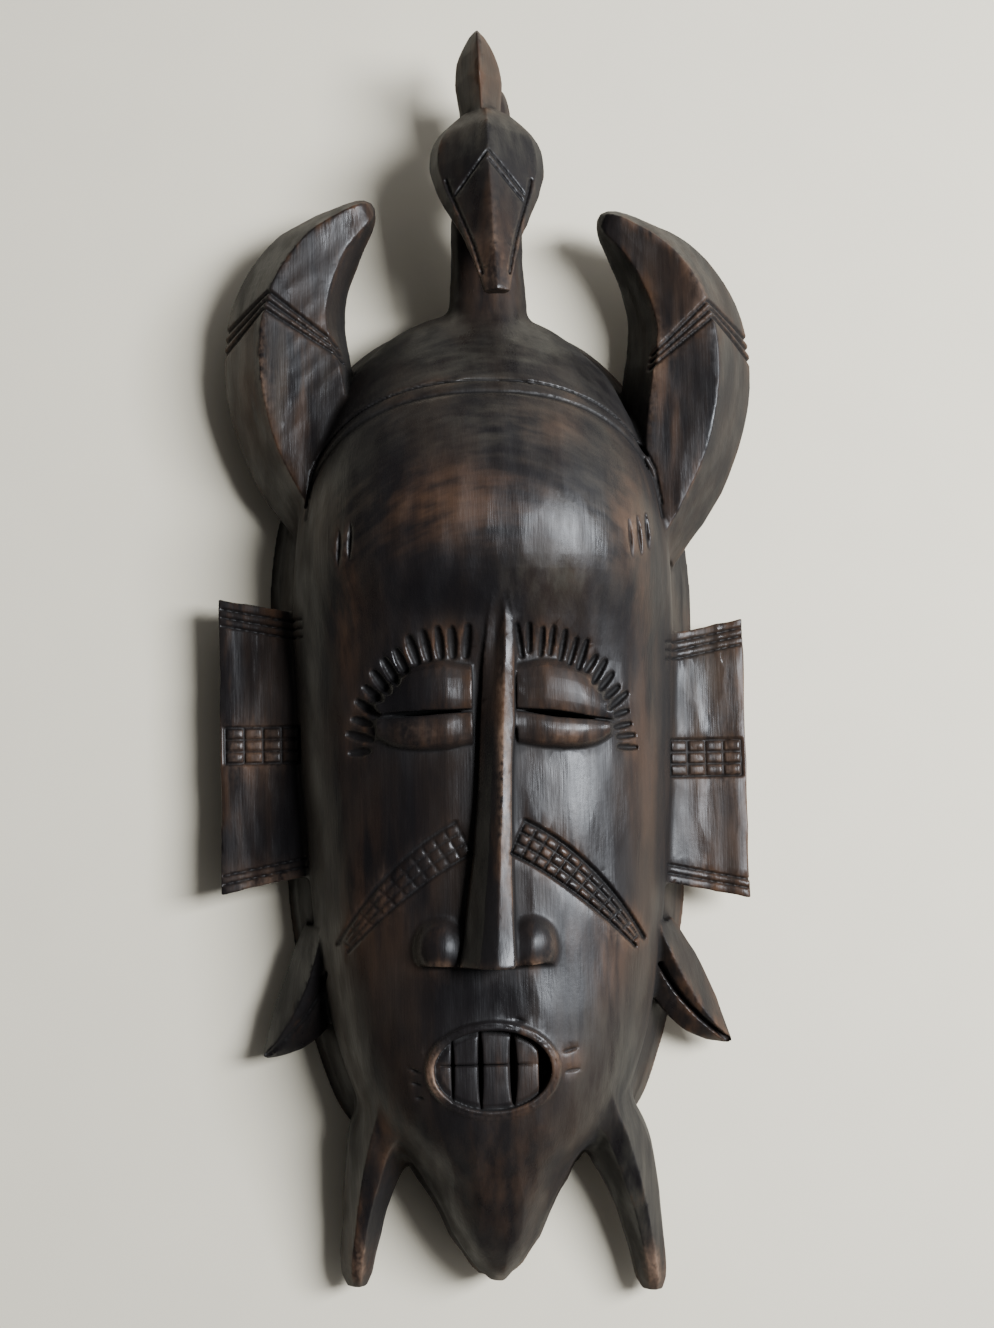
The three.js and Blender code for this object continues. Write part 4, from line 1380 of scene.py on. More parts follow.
@dataclass
class Mouth:
    """The oval mouth: a raised lip round a recess with four upright teeth.

    Its rings are ovals grown by an amount, each with a height above the face or the recess's floor.
    """

    face: FaceShell
    centre: Pair = (-0.8, -131.0)
    across: float = 18.8
    up: float = 12.9
    lip_rings: Pairs = ((3.7, -6.0), (2.7, 0.0), (2.16, 1.12), (1.08, 1.4), (-3.0, 0.56))
    lip_fillet: float = 0.8
    depth: float = 10.0
    recess_rings: Pairs = ((-1.0, 0.0), (-0.4, 4.0))
    recess_top: float = 80.0
    plate: Pair = (-21.0, 14.2)
    plate_rings: Pairs = ((0.4, -2.0), (0.4, 6.0), (-2.4, 7.4))
    plate_fillet: float = 0.4
    gaps: Sequence[Triple] = ((-12.6, 0.9, 10.0), (-3.9, 1.6, 12.4), (6.3, 2.6, 11.6))
    gap_rings: Pairs = ((0.0, 0.5), (5.5, 0.8), (12.0, 1.9))
    gap_power: float = 1.3
    gap_points: int = 48
    gap_edge: float = 0.5
    split: float = 1.6
    seam_width: float = 0.5
    seam_low: float = 3.5
    seam_edge: float = 0.4
    oval_points: int = 72
    line_out: float = 1.1
    line_cut: Tool = Tool(0.9, 0.45)
    nicks: Sequence[Pairs] = (
        ((-22.6, -0.6), (-26.6, 1.0)), ((-22.0, -4.6), (-26.0, -3.4)), ((-21.5, -8.6), (-24.5, -8.2)),
        ((22.0, 5.0), (27.0, 6.2)), ((22.5, -1.0), (27.5, -0.4)), ((7.0, 16.0), (10.0, 15.0)),
    )
    nick_cut: Tool = Tool(1.5, 0.9, taper=0.6)

    def ring(self, grow: float, z: float | None = None, lift: float = 0.0) -> Array:
        """Return the mouth's oval, grown by some amount, on the face or at one height.

        Args:
            grow: How much larger than the mouth.
            z: The one height, or nothing.
            lift: How far above the face or the height.

        Returns:
            The ring's points.
        """
        turn = np.linspace(0, 2 * np.pi, self.oval_points, endpoint=False)
        x = self.centre[0] + (self.across + grow) * np.cos(turn)
        y = self.centre[1] + (self.up + grow) * np.sin(turn)
        height = self.face.height(x, y) if z is None else np.full_like(x, z)
        return np.stack([x, y, height + lift], 1)

    def floor(self) -> float:
        """Return the height of the recess's floor."""
        return float(self.face.height(*self.centre)) - self.depth

    def carve(self, block: CarvingBlock) -> None:
        """Join the lip into the block."""
        block.join(loft([self.ring(grow, lift=lift) for grow, lift in self.lip_rings]), self.lip_fillet)

    def open(self, block: CarvingBlock) -> None:
        """Cut the recess, leave the teeth as a plate in it, and cut the gaps between them.

        Args:
            block: The block of wood.
        """
        floor = self.floor()
        low = [self.ring(grow, floor + up) for grow, up in self.recess_rings]
        block.cut(loft([*low, self.ring(0, self.recess_top)]), self.lip_fillet)
        block.join(self.plate_of_teeth(floor), self.plate_fillet)
        for x, width, reach in self.gaps:
            block.cut(self.gap(x, width, reach, floor), self.gap_edge)
        seam = self.gap(0.0, self.seam_width, self.across, floor + self.seam_low, upright=False)
        block.cut(seam, self.seam_edge)

    def plate_of_teeth(self, floor: float) -> Solid:
        """Return the teeth in one piece: an oval plate that stops short of the right end.

        Args:
            floor: The height of the recess's floor.

        Returns:
            The solid.
        """
        left, right = self.plate
        rings = []
        for grow, up in self.plate_rings:
            ring = self.ring(grow, floor + up)
            ring[:, 0] = np.clip(ring[:, 0], self.centre[0] + left, self.centre[0] + right)
            rings.append(ring)
        return loft(rings)

    def gap(self, middle: float, width: float, reach: float, low: float, upright: bool = True) -> Solid:
        """Return an almond-shaped cutter that widens towards the front.

        Args:
            middle: The gap's place across the mouth.
            width: Its greatest width at the teeth's face.
            reach: Half its length.
            low: The height of its bottom.
            upright: Whether it runs up the mouth, and not across it.

        Returns:
            The cutter.
        """
        turn = np.linspace(0, 2 * np.pi, self.gap_points, endpoint=False)
        narrow = np.sign(np.sin(turn)) * np.abs(np.sin(turn)) ** self.gap_power
        rings = []
        for up, size in self.gap_rings:
            a, b = width / 2 * size * narrow, reach * np.cos(turn)
            x, y = (middle + a, b) if upright else (b, self.split + a)
            place = [self.centre[0] + x, self.centre[1] + y, np.full_like(x, low + up)]
            rings.append(np.stack(place, 1))
        return loft(rings)

    def mark(self, plan: CutPlan) -> None:
        """Cut a fine line round the lip, and the short nicks beside the mouth and above it.

        Args:
            plan: The plan of cuts to add to.
        """
        rim = self.ring(self.line_out)[:, :2]
        plan.line(np.vstack([rim, rim[:1]]), self.line_cut)
        plan.scratch(np.array(self.nicks) + np.array(self.centre), self.nick_cut)


@dataclass
class ScarBand:
    """A tapering band of small cells across a cheek."""

    side: Side
    lattice: bpy.types.NodeTree
    depth: float
    start: Pair = (8.6, -58.6)
    bend: Pair = (28.5, -68.5)
    end: Pair = (46.5, -91.5)
    width: float = 11.0
    taper: float = 0.6
    rows: int = 3
    columns: int = 11
    cell_width: float = 1.5
    edges: Pairs = ((1.0, 2.3), (0.0, 1.7))
    edge_deeper: float = 1.5
    edge_reach: float = 1.03
    edge_steps: int = 14

    def warp(self, along: Array, across: Array) -> Array:
        """Return places on the cheek from shares along and across the band.

        Args:
            along: The shares along the band.
            across: The shares across it.

        Returns:
            The places.
        """
        a, b, c = (np.array(p) for p in (self.start, self.bend, self.end))
        t = along[..., None]
        place = (1 - t) ** 2 * a + 2 * t * (1 - t) * b + t**2 * c
        way = 2 * (1 - t) * (b - a) + 2 * t * (c - b)
        way = way / np.linalg.norm(way, axis=-1, keepdims=True)
        normal = np.stack([-way[..., 1], way[..., 0]], -1)
        half = self.width / 2 * (1 - self.taper * t**2)
        place = place + normal * half * (across[..., None] * 2 - 1)
        return place * (self.side.value, 1)

    def mark(self, plan: CutPlan) -> None:
        """Cut the cells and the two long edges.

        Args:
            plan: The plan of cuts to add to.
        """
        cells = strokes_from(self.lattice, Columns=self.columns, Rows=self.rows)
        plan.scratch(self.warp(cells[..., 0], cells[..., 1]), Tool(self.cell_width, self.depth))
        along = np.linspace(0, self.edge_reach, self.edge_steps)
        for edge, width in self.edges:
            tool = Tool(width, self.depth * self.edge_deeper)
            plan.line(self.warp(along, np.full_like(along, edge)), tool)


@dataclass
class Surface:
    """Marks that belong to the whole face: the crown's double line, temple cuts and tool marks."""

    band_middle: float = 1.0
    band_half: float = 59.0
    band_top: float = 89.0
    band_fall: float = 38.0
    band_power: float = 2.2
    band_gap: float = 4.5
    band_steps: int = 60
    band_cuts: tuple[Tool, ...] = (Tool(1.3, 1.1), Tool(2.2, 0.8))
    temple: Triple = (45.0, 36.0, 13.0)
    temple_left: tuple[float, ...] = (-1.6, 2.0)
    temple_right: tuple[float, ...] = (2.2, 5.4, 8.4)
    temple_step: float = 1.5
    temple_cut: Tool = Tool(1.9, 1.3, taper=0.8)
    chin_below: Pair = (-140.0, 25.0)
    crown_above: Pair = (60.0, 30.0)
    ears_beyond: Pair = (62.0, 6.0)
    scoop_shares: tuple[float, ...] = (0.6, 0.6, 0.3, 0.7)
    face_scoop: Pair = (6.5, 19.0)
    face_scoop_depth: float = 0.42
    crown_scoop: Pair = (13.0, 6.5)
    crown_scoop_depth: float = 0.26
    crown_sag: float = 0.008
    seed: int = 11
    crown_seed: int = 16

    def mark(self, plan: CutPlan) -> None:
        """Cut the double line under the crown and the cuts at the temples.

        Args:
            plan: The plan of cuts to add to.
        """
        share = np.linspace(-1, 1, self.band_steps)
        sag = 1 - (1 - np.abs(share) ** self.band_power) ** (1 / self.band_power)
        for line, tool in enumerate(self.band_cuts):
            y = self.band_top - line * self.band_gap - self.band_fall * sag
            plan.line(np.stack([self.band_middle + share * self.band_half, y], 1), tool)
        x, y, length = self.temple
        for side, offsets in ((Side.LEFT, self.temple_left), (Side.RIGHT, self.temple_right)):
            for number, offset in enumerate(offsets):
                centre = side.value * (x + offset)
                low = y - length / 2 + number * self.temple_step * side.value
                stroke = [(centre, low), (centre - side.value, low + length)]
                plan.scratch(np.array([stroke]), self.temple_cut)

    def scoop(self, plan: CutPlan) -> None:
        """Leave the shallow scoops of the gouge over the whole front.

        Args:
            plan: The plan of cuts to add to.
        """
        x, y = plan.block.plan()
        chin = smooth_step((self.chin_below[0] - y) / self.chin_below[1])
        crown = smooth_step((y - self.crown_above[0]) / self.crown_above[1])
        ears = smooth_step((np.abs(x) - self.ears_beyond[0]) / self.ears_beyond[1])
        everywhere, on_chin, on_ears, off_crown = self.scoop_shares
        lengthwise = (everywhere + on_chin * chin + on_ears * ears) * (1 - off_crown * crown)
        crosswise = crown * (1 - ears)
        plan.scoops(self.face_scoop, self.face_scoop_depth, self.seed, lengthwise)
        plan.scoops(self.crown_scoop, self.crown_scoop_depth, self.crown_seed, crosswise, self.crown_sag)


def unevenness(shape: tuple[int, ...], voxel: float, cell: float, seed: int) -> Array:
    """Return slow random swells, from -1 to 1, over a block of samples.

    Args:
        shape: How many samples on each axis.
        voxel: The distance between samples.
        cell: The width of a swell.
        seed: Fixes the random numbers.

    Returns:
        One value for each sample.
    """
    rng = np.random.default_rng(seed)
    counts = [int(n * voxel / cell) + 2 for n in shape]
    values = rng.uniform(-1, 1, counts).astype(np.float32)
    for number, count in enumerate(shape):
        place = np.arange(count) * voxel / cell
        i = place.astype(int)
        u = smooth_step(place - i).astype(np.float32)
        weights = [1, 1, 1]
        weights[number] = -1
        u = u.reshape(weights)
        values = np.take(values, i, axis=number) * (1 - u) + np.take(values, i + 1, axis=number) * u
    return values


def blurred(values: Array, passes: int) -> Array:
    """Return values averaged with their neighbours along each axis, again and again.

    Args:
        values: The values.
        passes: How many times.

    Returns:
        The averaged values.
    """
    result = values.copy()
    for _ in range(passes):
        for number in range(3):
            middle = [slice(None)] * 3
            before, after = middle.copy(), middle.copy()
            middle[number], before[number], after[number] = slice(1, -1), slice(None, -2), slice(2, None)
            kept = result[tuple(middle)] * 0.5 + (result[tuple(before)] + result[tuple(after)]) * 0.25
            result[tuple(middle)] = kept
    return result


@dataclass(frozen=True)
class Patch:
    """A soft oval place on the front: rubbed stain, a cast of its own, or deeper stain and painted shade."""

    x: float
    y: float
    across: float
    up: float
    strength: float

    def weight(self, points: Array) -> Array:
        """Return the patch's strength at each point."""
        away = ((points[:, 0] - self.x) / self.across) ** 2 + ((points[:, 1] - self.y) / self.up) ** 2
        return self.strength * np.exp(-PATCH_FADE * away)


@dataclass(frozen=True)
class Grain:
    """A noise drawn out along the wood: how often it repeats in a metre on each axis, and its detail."""

    scale: Triple
    detail: float


@dataclass(frozen=True)
class Relief:
    """How what stands out from the wood round it turns into wear, and what lies deeper into painted shade."""

    gain: float
    start: float
    share: float

    def __call__(self, value: Array) -> Array:
        """Return the wear, or the painted shade, for each height above the wood round it."""
        return np.clip(value * self.gain - self.start, 0, 1) * self.share


@dataclass(frozen=True)
class WoodFinish:
    """Dark stain under wax, rubbed to red brown, with fine grain up the face.

    Each name that ends in mix holds the shares of two values in a sum, and each that ends in range
    the values at which a change of colour or gloss starts and is complete.
    """

    stain: Triple = (0.0100, 0.0085, 0.0085)
    brown: Triple = (0.0245, 0.0170, 0.0130)
    red: Triple = (0.078, 0.040, 0.022)
    bare: Triple = (0.26, 0.165, 0.110)
    olive: Triple = (0.052, 0.048, 0.038)
    # Near black for deeper stain and painted shade, on the side away from the light and under overhangs.
    deep_stain_and_shade: Triple = (0.0050, 0.0046, 0.0052)
    # Near black painted shade, laid into the hollows where shade falls.
    hollow_shade: Triple = (0.004, 0.0034, 0.0032)
    hollow_shade_share: float = 0.85
    deep_stain_and_shade_share: float = 0.75
    upright: Grain = Grain((270, 36, 220), 6)
    arched: Grain = Grain((60, 230, 150), 6)
    fibres: Grain = Grain((1500, 70, 1500), 3)
    clouds: Grain = Grain((38, 17, 38), 5)
    strokes: Grain = Grain((150, 42, 120), 4)
    specks: Grain = Grain((700, 500, 700), 2)
    arch_sag: float = 8.0
    arch_share: float = 0.8
    brown_mix: Pair = (0.8, 0.2)
    brown_range: Pair = (0.40, 0.66)
    olive_range: Pair = (0.32, 0.72)
    worn_mix: Pair = (0.5, 0.5)
    rubbed_range: Pair = (0.38, 0.64)
    edge_range: Pair = (0.46, 0.66)
    bare_mix: Pair = (0.4, 0.6)
    bare_range: Pair = (0.36, 0.66)
    roughness: float = 0.235
    stroke_range: Pair = (0.3, 0.7)
    streak_range: Pair = (0.2, 0.8)
    gloss_mix: Pair = (0.22, 0.04)
    dull_mix: Pair = (-0.10, 0.12)
    hollow_roughness: float = 0.3
    slope_range: Pair = (0.82, 0.3)
    slope_roughness: float = 0.34
    specular: float = 0.26
    fine_mix: Pair = (0.2, 0.4)
    coarse_mix: Pair = (0.8, 0.2)
    bump_mix: Pair = (1.0, 0.5)
    bump_strength: float = 0.35
    bump_height: float = 0.0008
    front_from: float = 6.0
    front_ease: float = 8.0
    edge_fine: Relief = Relief(3.0, 0.2, 0.25)
    edge_wide: Relief = Relief(1.4, 0.15, 0.75)
    hollow_shade_fine: Relief = Relief(4.0, 0.15, 0.7)
    hollow_shade_wide: Relief = Relief(0.9, 0.1, 0.5)
    crown_low: Pair = (18.0, 16.0)
    crown_top: Pair = (118.0, 8.0)
    crown_side: Pair = (54.0, 8.0)
    rubbed_places: tuple[Patch, ...] = (
        Patch(-12, 46, 30, 14, 0.85), Patch(20, 72, 18, 8, 0.5), Patch(44, 44, 10, 20, 0.6),
        Patch(-45, 16, 5, 24, 0.85), Patch(52, 12, 5, 30, 0.4), Patch(51, -32, 6, 38, 0.4),
        Patch(-36, -72, 14, 26, 0.5), Patch(36, -98, 8, 15, 0.8), Patch(-22, -25, 10, 4, 0.6),
        Patch(26, -27, 8, 2.5, 0.5), Patch(-76, -28, 12, 12, 0.5), Patch(-74, -70, 12, 7, 0.6),
        Patch(76, -30, 12, 40, 0.4), Patch(-75, 96, 9, 24, 0.7), Patch(-60, 86, 5, 30, 0.9),
        Patch(62, 84, 6, 34, 0.7), Patch(72, 120, 8, 20, 0.35), Patch(22, -92, 5, 8, 1.0),
        Patch(0, -165, 16, 24, 0.25), Patch(-34, -152, 6, 16, 0.5), Patch(-45, -196, 7, 8, 0.75),
        Patch(52, -200, 7, 8, 0.8), Patch(-18.5, -133, 3, 8, 1.0), Patch(4, 128, 8, 22, 0.45),
        # Patch(4.2, -40) lightens the nose ridge: worn wood and a painted highlight.
        Patch(8, 195, 8, 14, 0.2), Patch(4.2, -40, 2.2, 40, 1.0), Patch(23, -128, 5, 5, 1.0),
        Patch(-15, -99, 9, 2.5, 0.8), Patch(12, -99, 9, 3, 0.8), Patch(-30, -174, 3, 16, 0.8),
    )
    olive_places: tuple[Patch, ...] = (
        Patch(4, 100, 48, 18, 0.85), Patch(6, 72, 46, 14, 0.55), Patch(36, -128, 16, 26, 0.6),
        Patch(48, -175, 10, 30, 0.7), Patch(4, 172, 16, 14, 0.6), Patch(-66, 84, 10, 30, 0.5),
        Patch(-52, -70, 6, 40, 0.35), Patch(34, 48, 16, 26, 0.4), Patch(76, -10, 14, 40, 0.5),
        Patch(20, 22, 16, 9, 0.7), Patch(-44, 50, 12, 16, 0.5),
    )
    # Deeper stain and painted shade: dark patches down the left side, which faces away from the light, under
    # the brow and the nose, and a painted shadow of the bird's neck on the crown.
    deep_stain_and_shade_places: tuple[Patch, ...] = (
        Patch(-28, -52, 18, 34, 0.9), Patch(-14, 18, 30, 12, 0.8), Patch(-2, -108, 26, 8, 0.9),
        Patch(-24, -12, 16, 14, 0.8), Patch(-76, -62, 12, 18, 0.8), Patch(-76, 5, 12, 18, 0.6),
        Patch(2, 106, 12, 14, 0.7), Patch(-60, 72, 10, 20, 0.8), Patch(-62, -40, 8, 62, 0.9),
        Patch(2, 140, 8, 16, 0.5), Patch(-14, -92, 10, 9, 0.6), Patch(10, -88, 9, 8, 0.5),
        Patch(44, -135, 12, 16, 0.5),
    )

    def weights(self, points: Array, places: Iterable[Patch]) -> Array:
        """Return the summed strength of the patches, on the front only."""
        total = sum(patch.weight(points) for patch in places)
        return np.clip(total, 0, 1) * smooth_step((points[:, 2] - self.front_from) / self.front_ease)

    def on_crown(self, points: Array) -> Array:
        """Return 1 on the dome of the forehead and the crown, and 0 away from it.

        Args:
            points: The points, in the carver's frame.

        Returns:
            One value for each point.
        """
        x, y = np.abs(points[:, 0]), points[:, 1]
        low, top, side = self.crown_low, self.crown_top, self.crown_side
        upward = smooth_step((y - low[0]) / low[1]) * smooth_step((top[0] - y) / top[1])
        return upward * smooth_step((side[0] - x) / side[1])

    def wear(self, points: Array, fine: Array, wide: Array) -> dict[str, Array]:
        """Return the wear, the painted shade in hollows and the patches at each point, from 0 to 1.

        Args:
            points: The points, in the carver's frame.
            fine: How far each stands out from the wood close round it, in samples.
            wide: How far it stands out from the wood further round it.

        Returns:
            The values by the names of the attributes that the material reads.
        """
        return {
            "edge": self.edge_fine(fine) + self.edge_wide(wide),
            # painted shade in the hollows, from how far each place lies below the wood round it
            "hollow": self.hollow_shade_fine(-fine) + self.hollow_shade_wide(-wide),
            "rub": self.weights(points, self.rubbed_places),
            "olive": self.weights(points, self.olive_places),
            # deeper stain and painted shade, from their patches
            "deep_stain_and_shade": self.weights(points, self.deep_stain_and_shade_places),
            "crown": self.on_crown(points),
        }

    def material(self) -> bpy.types.Material:
        """Build the wood's material from its attributes and grain.

        Returns:
            The finished material.
        """
        material = bpy.data.materials.new("waxed_dark_wood")
        material.use_nodes = True
        sheet = ShaderSheet(material.node_tree)
        place = sheet.add("ShaderNodeTexCoord").outputs["Object"]
        names = ("edge", "hollow", "rub", "olive", "deep_stain_and_shade", "crown")
        edge, hollow, rub, olive, deep_stain_and_shade, crown = (sheet.attribute(name) for name in names)
        upright, fibres, clouds, strokes, specks = (
            sheet.noise(place, grain)
            for grain in (self.upright, self.fibres, self.clouds, self.strokes, self.specks))
        arched = sheet.noise(sheet.bent(place, self.arch_sag), self.arched)
        streaks = sheet.blend(upright, arched, sheet.product(crown, self.arch_share))
        worn = sheet.sum(streaks, clouds, self.worn_mix)
        rubbed = sheet.product(rub, sheet.ramp(worn, self.rubbed_range))
        rubbed_edge = sheet.product(edge, sheet.ramp(worn, self.edge_range))
        bare = sheet.ramp(sheet.sum(specks, strokes, self.bare_mix), self.bare_range)
        tone = sheet.ramp(sheet.sum(clouds, streaks, self.brown_mix), self.brown_range)
        tone = sheet.mix(self.stain, self.brown, tone)
        for colour, share in (
                (self.olive, sheet.product(olive, sheet.ramp(streaks, self.olive_range))),
                (self.red, rubbed),
                (self.red, rubbed_edge),
                (self.bare, sheet.product(sheet.product(edge, rub), bare)),
                # painted shade darkens the hollows
                (self.hollow_shade, sheet.product(hollow, self.hollow_shade_share)),
                # deeper stain and painted shade darken their patches
                (self.deep_stain_and_shade, sheet.product(deep_stain_and_shade, self.deep_stain_and_shade_share))):
            tone = sheet.mix(tone, colour, share)
        gloss = sheet.sum(
            sheet.ramp(strokes, self.stroke_range), sheet.ramp(streaks, self.streak_range), self.gloss_mix)
        normal = sheet.add("ShaderNodeNewGeometry").outputs["Normal"]
        facing = sheet.add("ShaderNodeSeparateXYZ", {0: normal}).outputs[2]
        rough = sheet.math("ADD", gloss, self.roughness)
        rough = sheet.math("ADD", rough, sheet.sum(deep_stain_and_shade, rubbed, self.dull_mix))
        rough = sheet.math("MULTIPLY_ADD", hollow, self.hollow_roughness, rough)
        rough = sheet.math("MULTIPLY_ADD", sheet.ramp(facing, self.slope_range), self.slope_roughness, rough)
        fine = sheet.sum(fibres, upright, self.fine_mix)
        height = sheet.sum(fine, sheet.sum(strokes, specks, self.coarse_mix), self.bump_mix)
        bump = sheet.add("ShaderNodeBump", {
            "Height": height, "Strength": self.bump_strength, "Distance": self.bump_height})
        shader = material.node_tree.nodes["Principled BSDF"]
        sheet.link(tone, shader.inputs["Base Color"])
        sheet.link(rough, shader.inputs["Roughness"])
        shader.inputs["Specular IOR Level"].default_value = self.specular
        sheet.link(bump.outputs[0], shader.inputs["Normal"])
        return material


class ShaderSheet(NodeSheet):
    """A material's node tree."""

    def attribute(self, name: str) -> Socket:
        """Return a value kept on the mesh."""
        return self.add("ShaderNodeAttribute", attribute_name=name).outputs["Fac"]

    def math(self, operation: str, *values: Socket | float) -> Socket:
        """Return the result of a sum on two or three values."""
        return self.add("ShaderNodeMath", dict(enumerate(values)), operation=operation).outputs[0]

    def noise(self, place: Socket, grain: Grain) -> Socket:
        """Return the noise of a grain at each place.

        Args:
            place: The places.
            grain: The noise's shape.

        Returns:
            The noise, from 0 to 1.
        """
        stretched = self.add("ShaderNodeMapping", {"Vector": place, "Scale": grain.scale}).outputs[0]
        noise = self.add("ShaderNodeTexNoise", {"Vector": stretched, "Scale": 1.0, "Detail": grain.detail})
        return noise.outputs["Fac"]

    def bent(self, place: Socket, sag: float) -> Socket:
        """Return places whose rows bend down to both sides.

        Args:
            place: The places.
            sag: How strongly they bend.

        Returns:
            The bent places.
        """
        x, y, z = self.add("ShaderNodeSeparateXYZ", {0: place}).outputs
        up = self.math("MULTIPLY_ADD", self.math("MULTIPLY", x, x), sag, y)
        return self.add("ShaderNodeCombineXYZ", {0: x, 1: up, 2: z}).outputs[0]

    def blend(self, a: Socket, b: Socket, share: Socket) -> Socket:
        """Return two values mixed."""
        return self.add("ShaderNodeMix", {0: share, 2: a, 3: b}).outputs[0]

    def ramp(self, value: Socket, reach: Pair) -> Socket:
        """Return a value stretched so that the reach's start is 0 and its end is 1."""
        sockets = {"Value": value, "From Min": reach[0], "From Max": reach[1]}
        return self.add("ShaderNodeMapRange", sockets, interpolation_type="SMOOTHSTEP").outputs[0]

    def product(self, a: Socket, b: Socket | float) -> Socket:
        """Return two values multiplied, held between 0 and 1."""
        return self.add("ShaderNodeMath", {0: a, 1: b}, operation="MULTIPLY", use_clamp=True).outputs[0]

    def sum(self, a: Socket, b: Socket, shares: Pair) -> Socket:
        """Return a weighted sum of two values."""
        return self.math("MULTIPLY_ADD", b, shares[1], self.math("MULTIPLY", a, shares[0]))

    def mix(self, a: Socket | Triple, b: Triple, share: Socket) -> Socket:
        """Return two colours mixed.

        Args:
            a: The first colour.
            b: The second colour.
            share: The share of the second.

        Returns:
            The mixed colour.
        """
        node = self.add("ShaderNodeMix", data_type="RGBA")
        self.link(share, node.inputs[0])
        for socket, colour in zip((node.inputs[number] for number in COLOUR_SOCKETS), (a, b)):
            if isinstance(colour, Socket):
                self.link(colour, socket)
            else:
                socket.default_value = (*colour, 1.0)
        return node.outputs[2]


def carver_shift(low: Vector, high: Vector) -> Array:
    """Return the move from the carver's frame to the part's, for the part's box in metres."""
    return np.array([low.x / MM + EAR_REACH, high.y / MM - CREST_TIP_Y, 0.0])


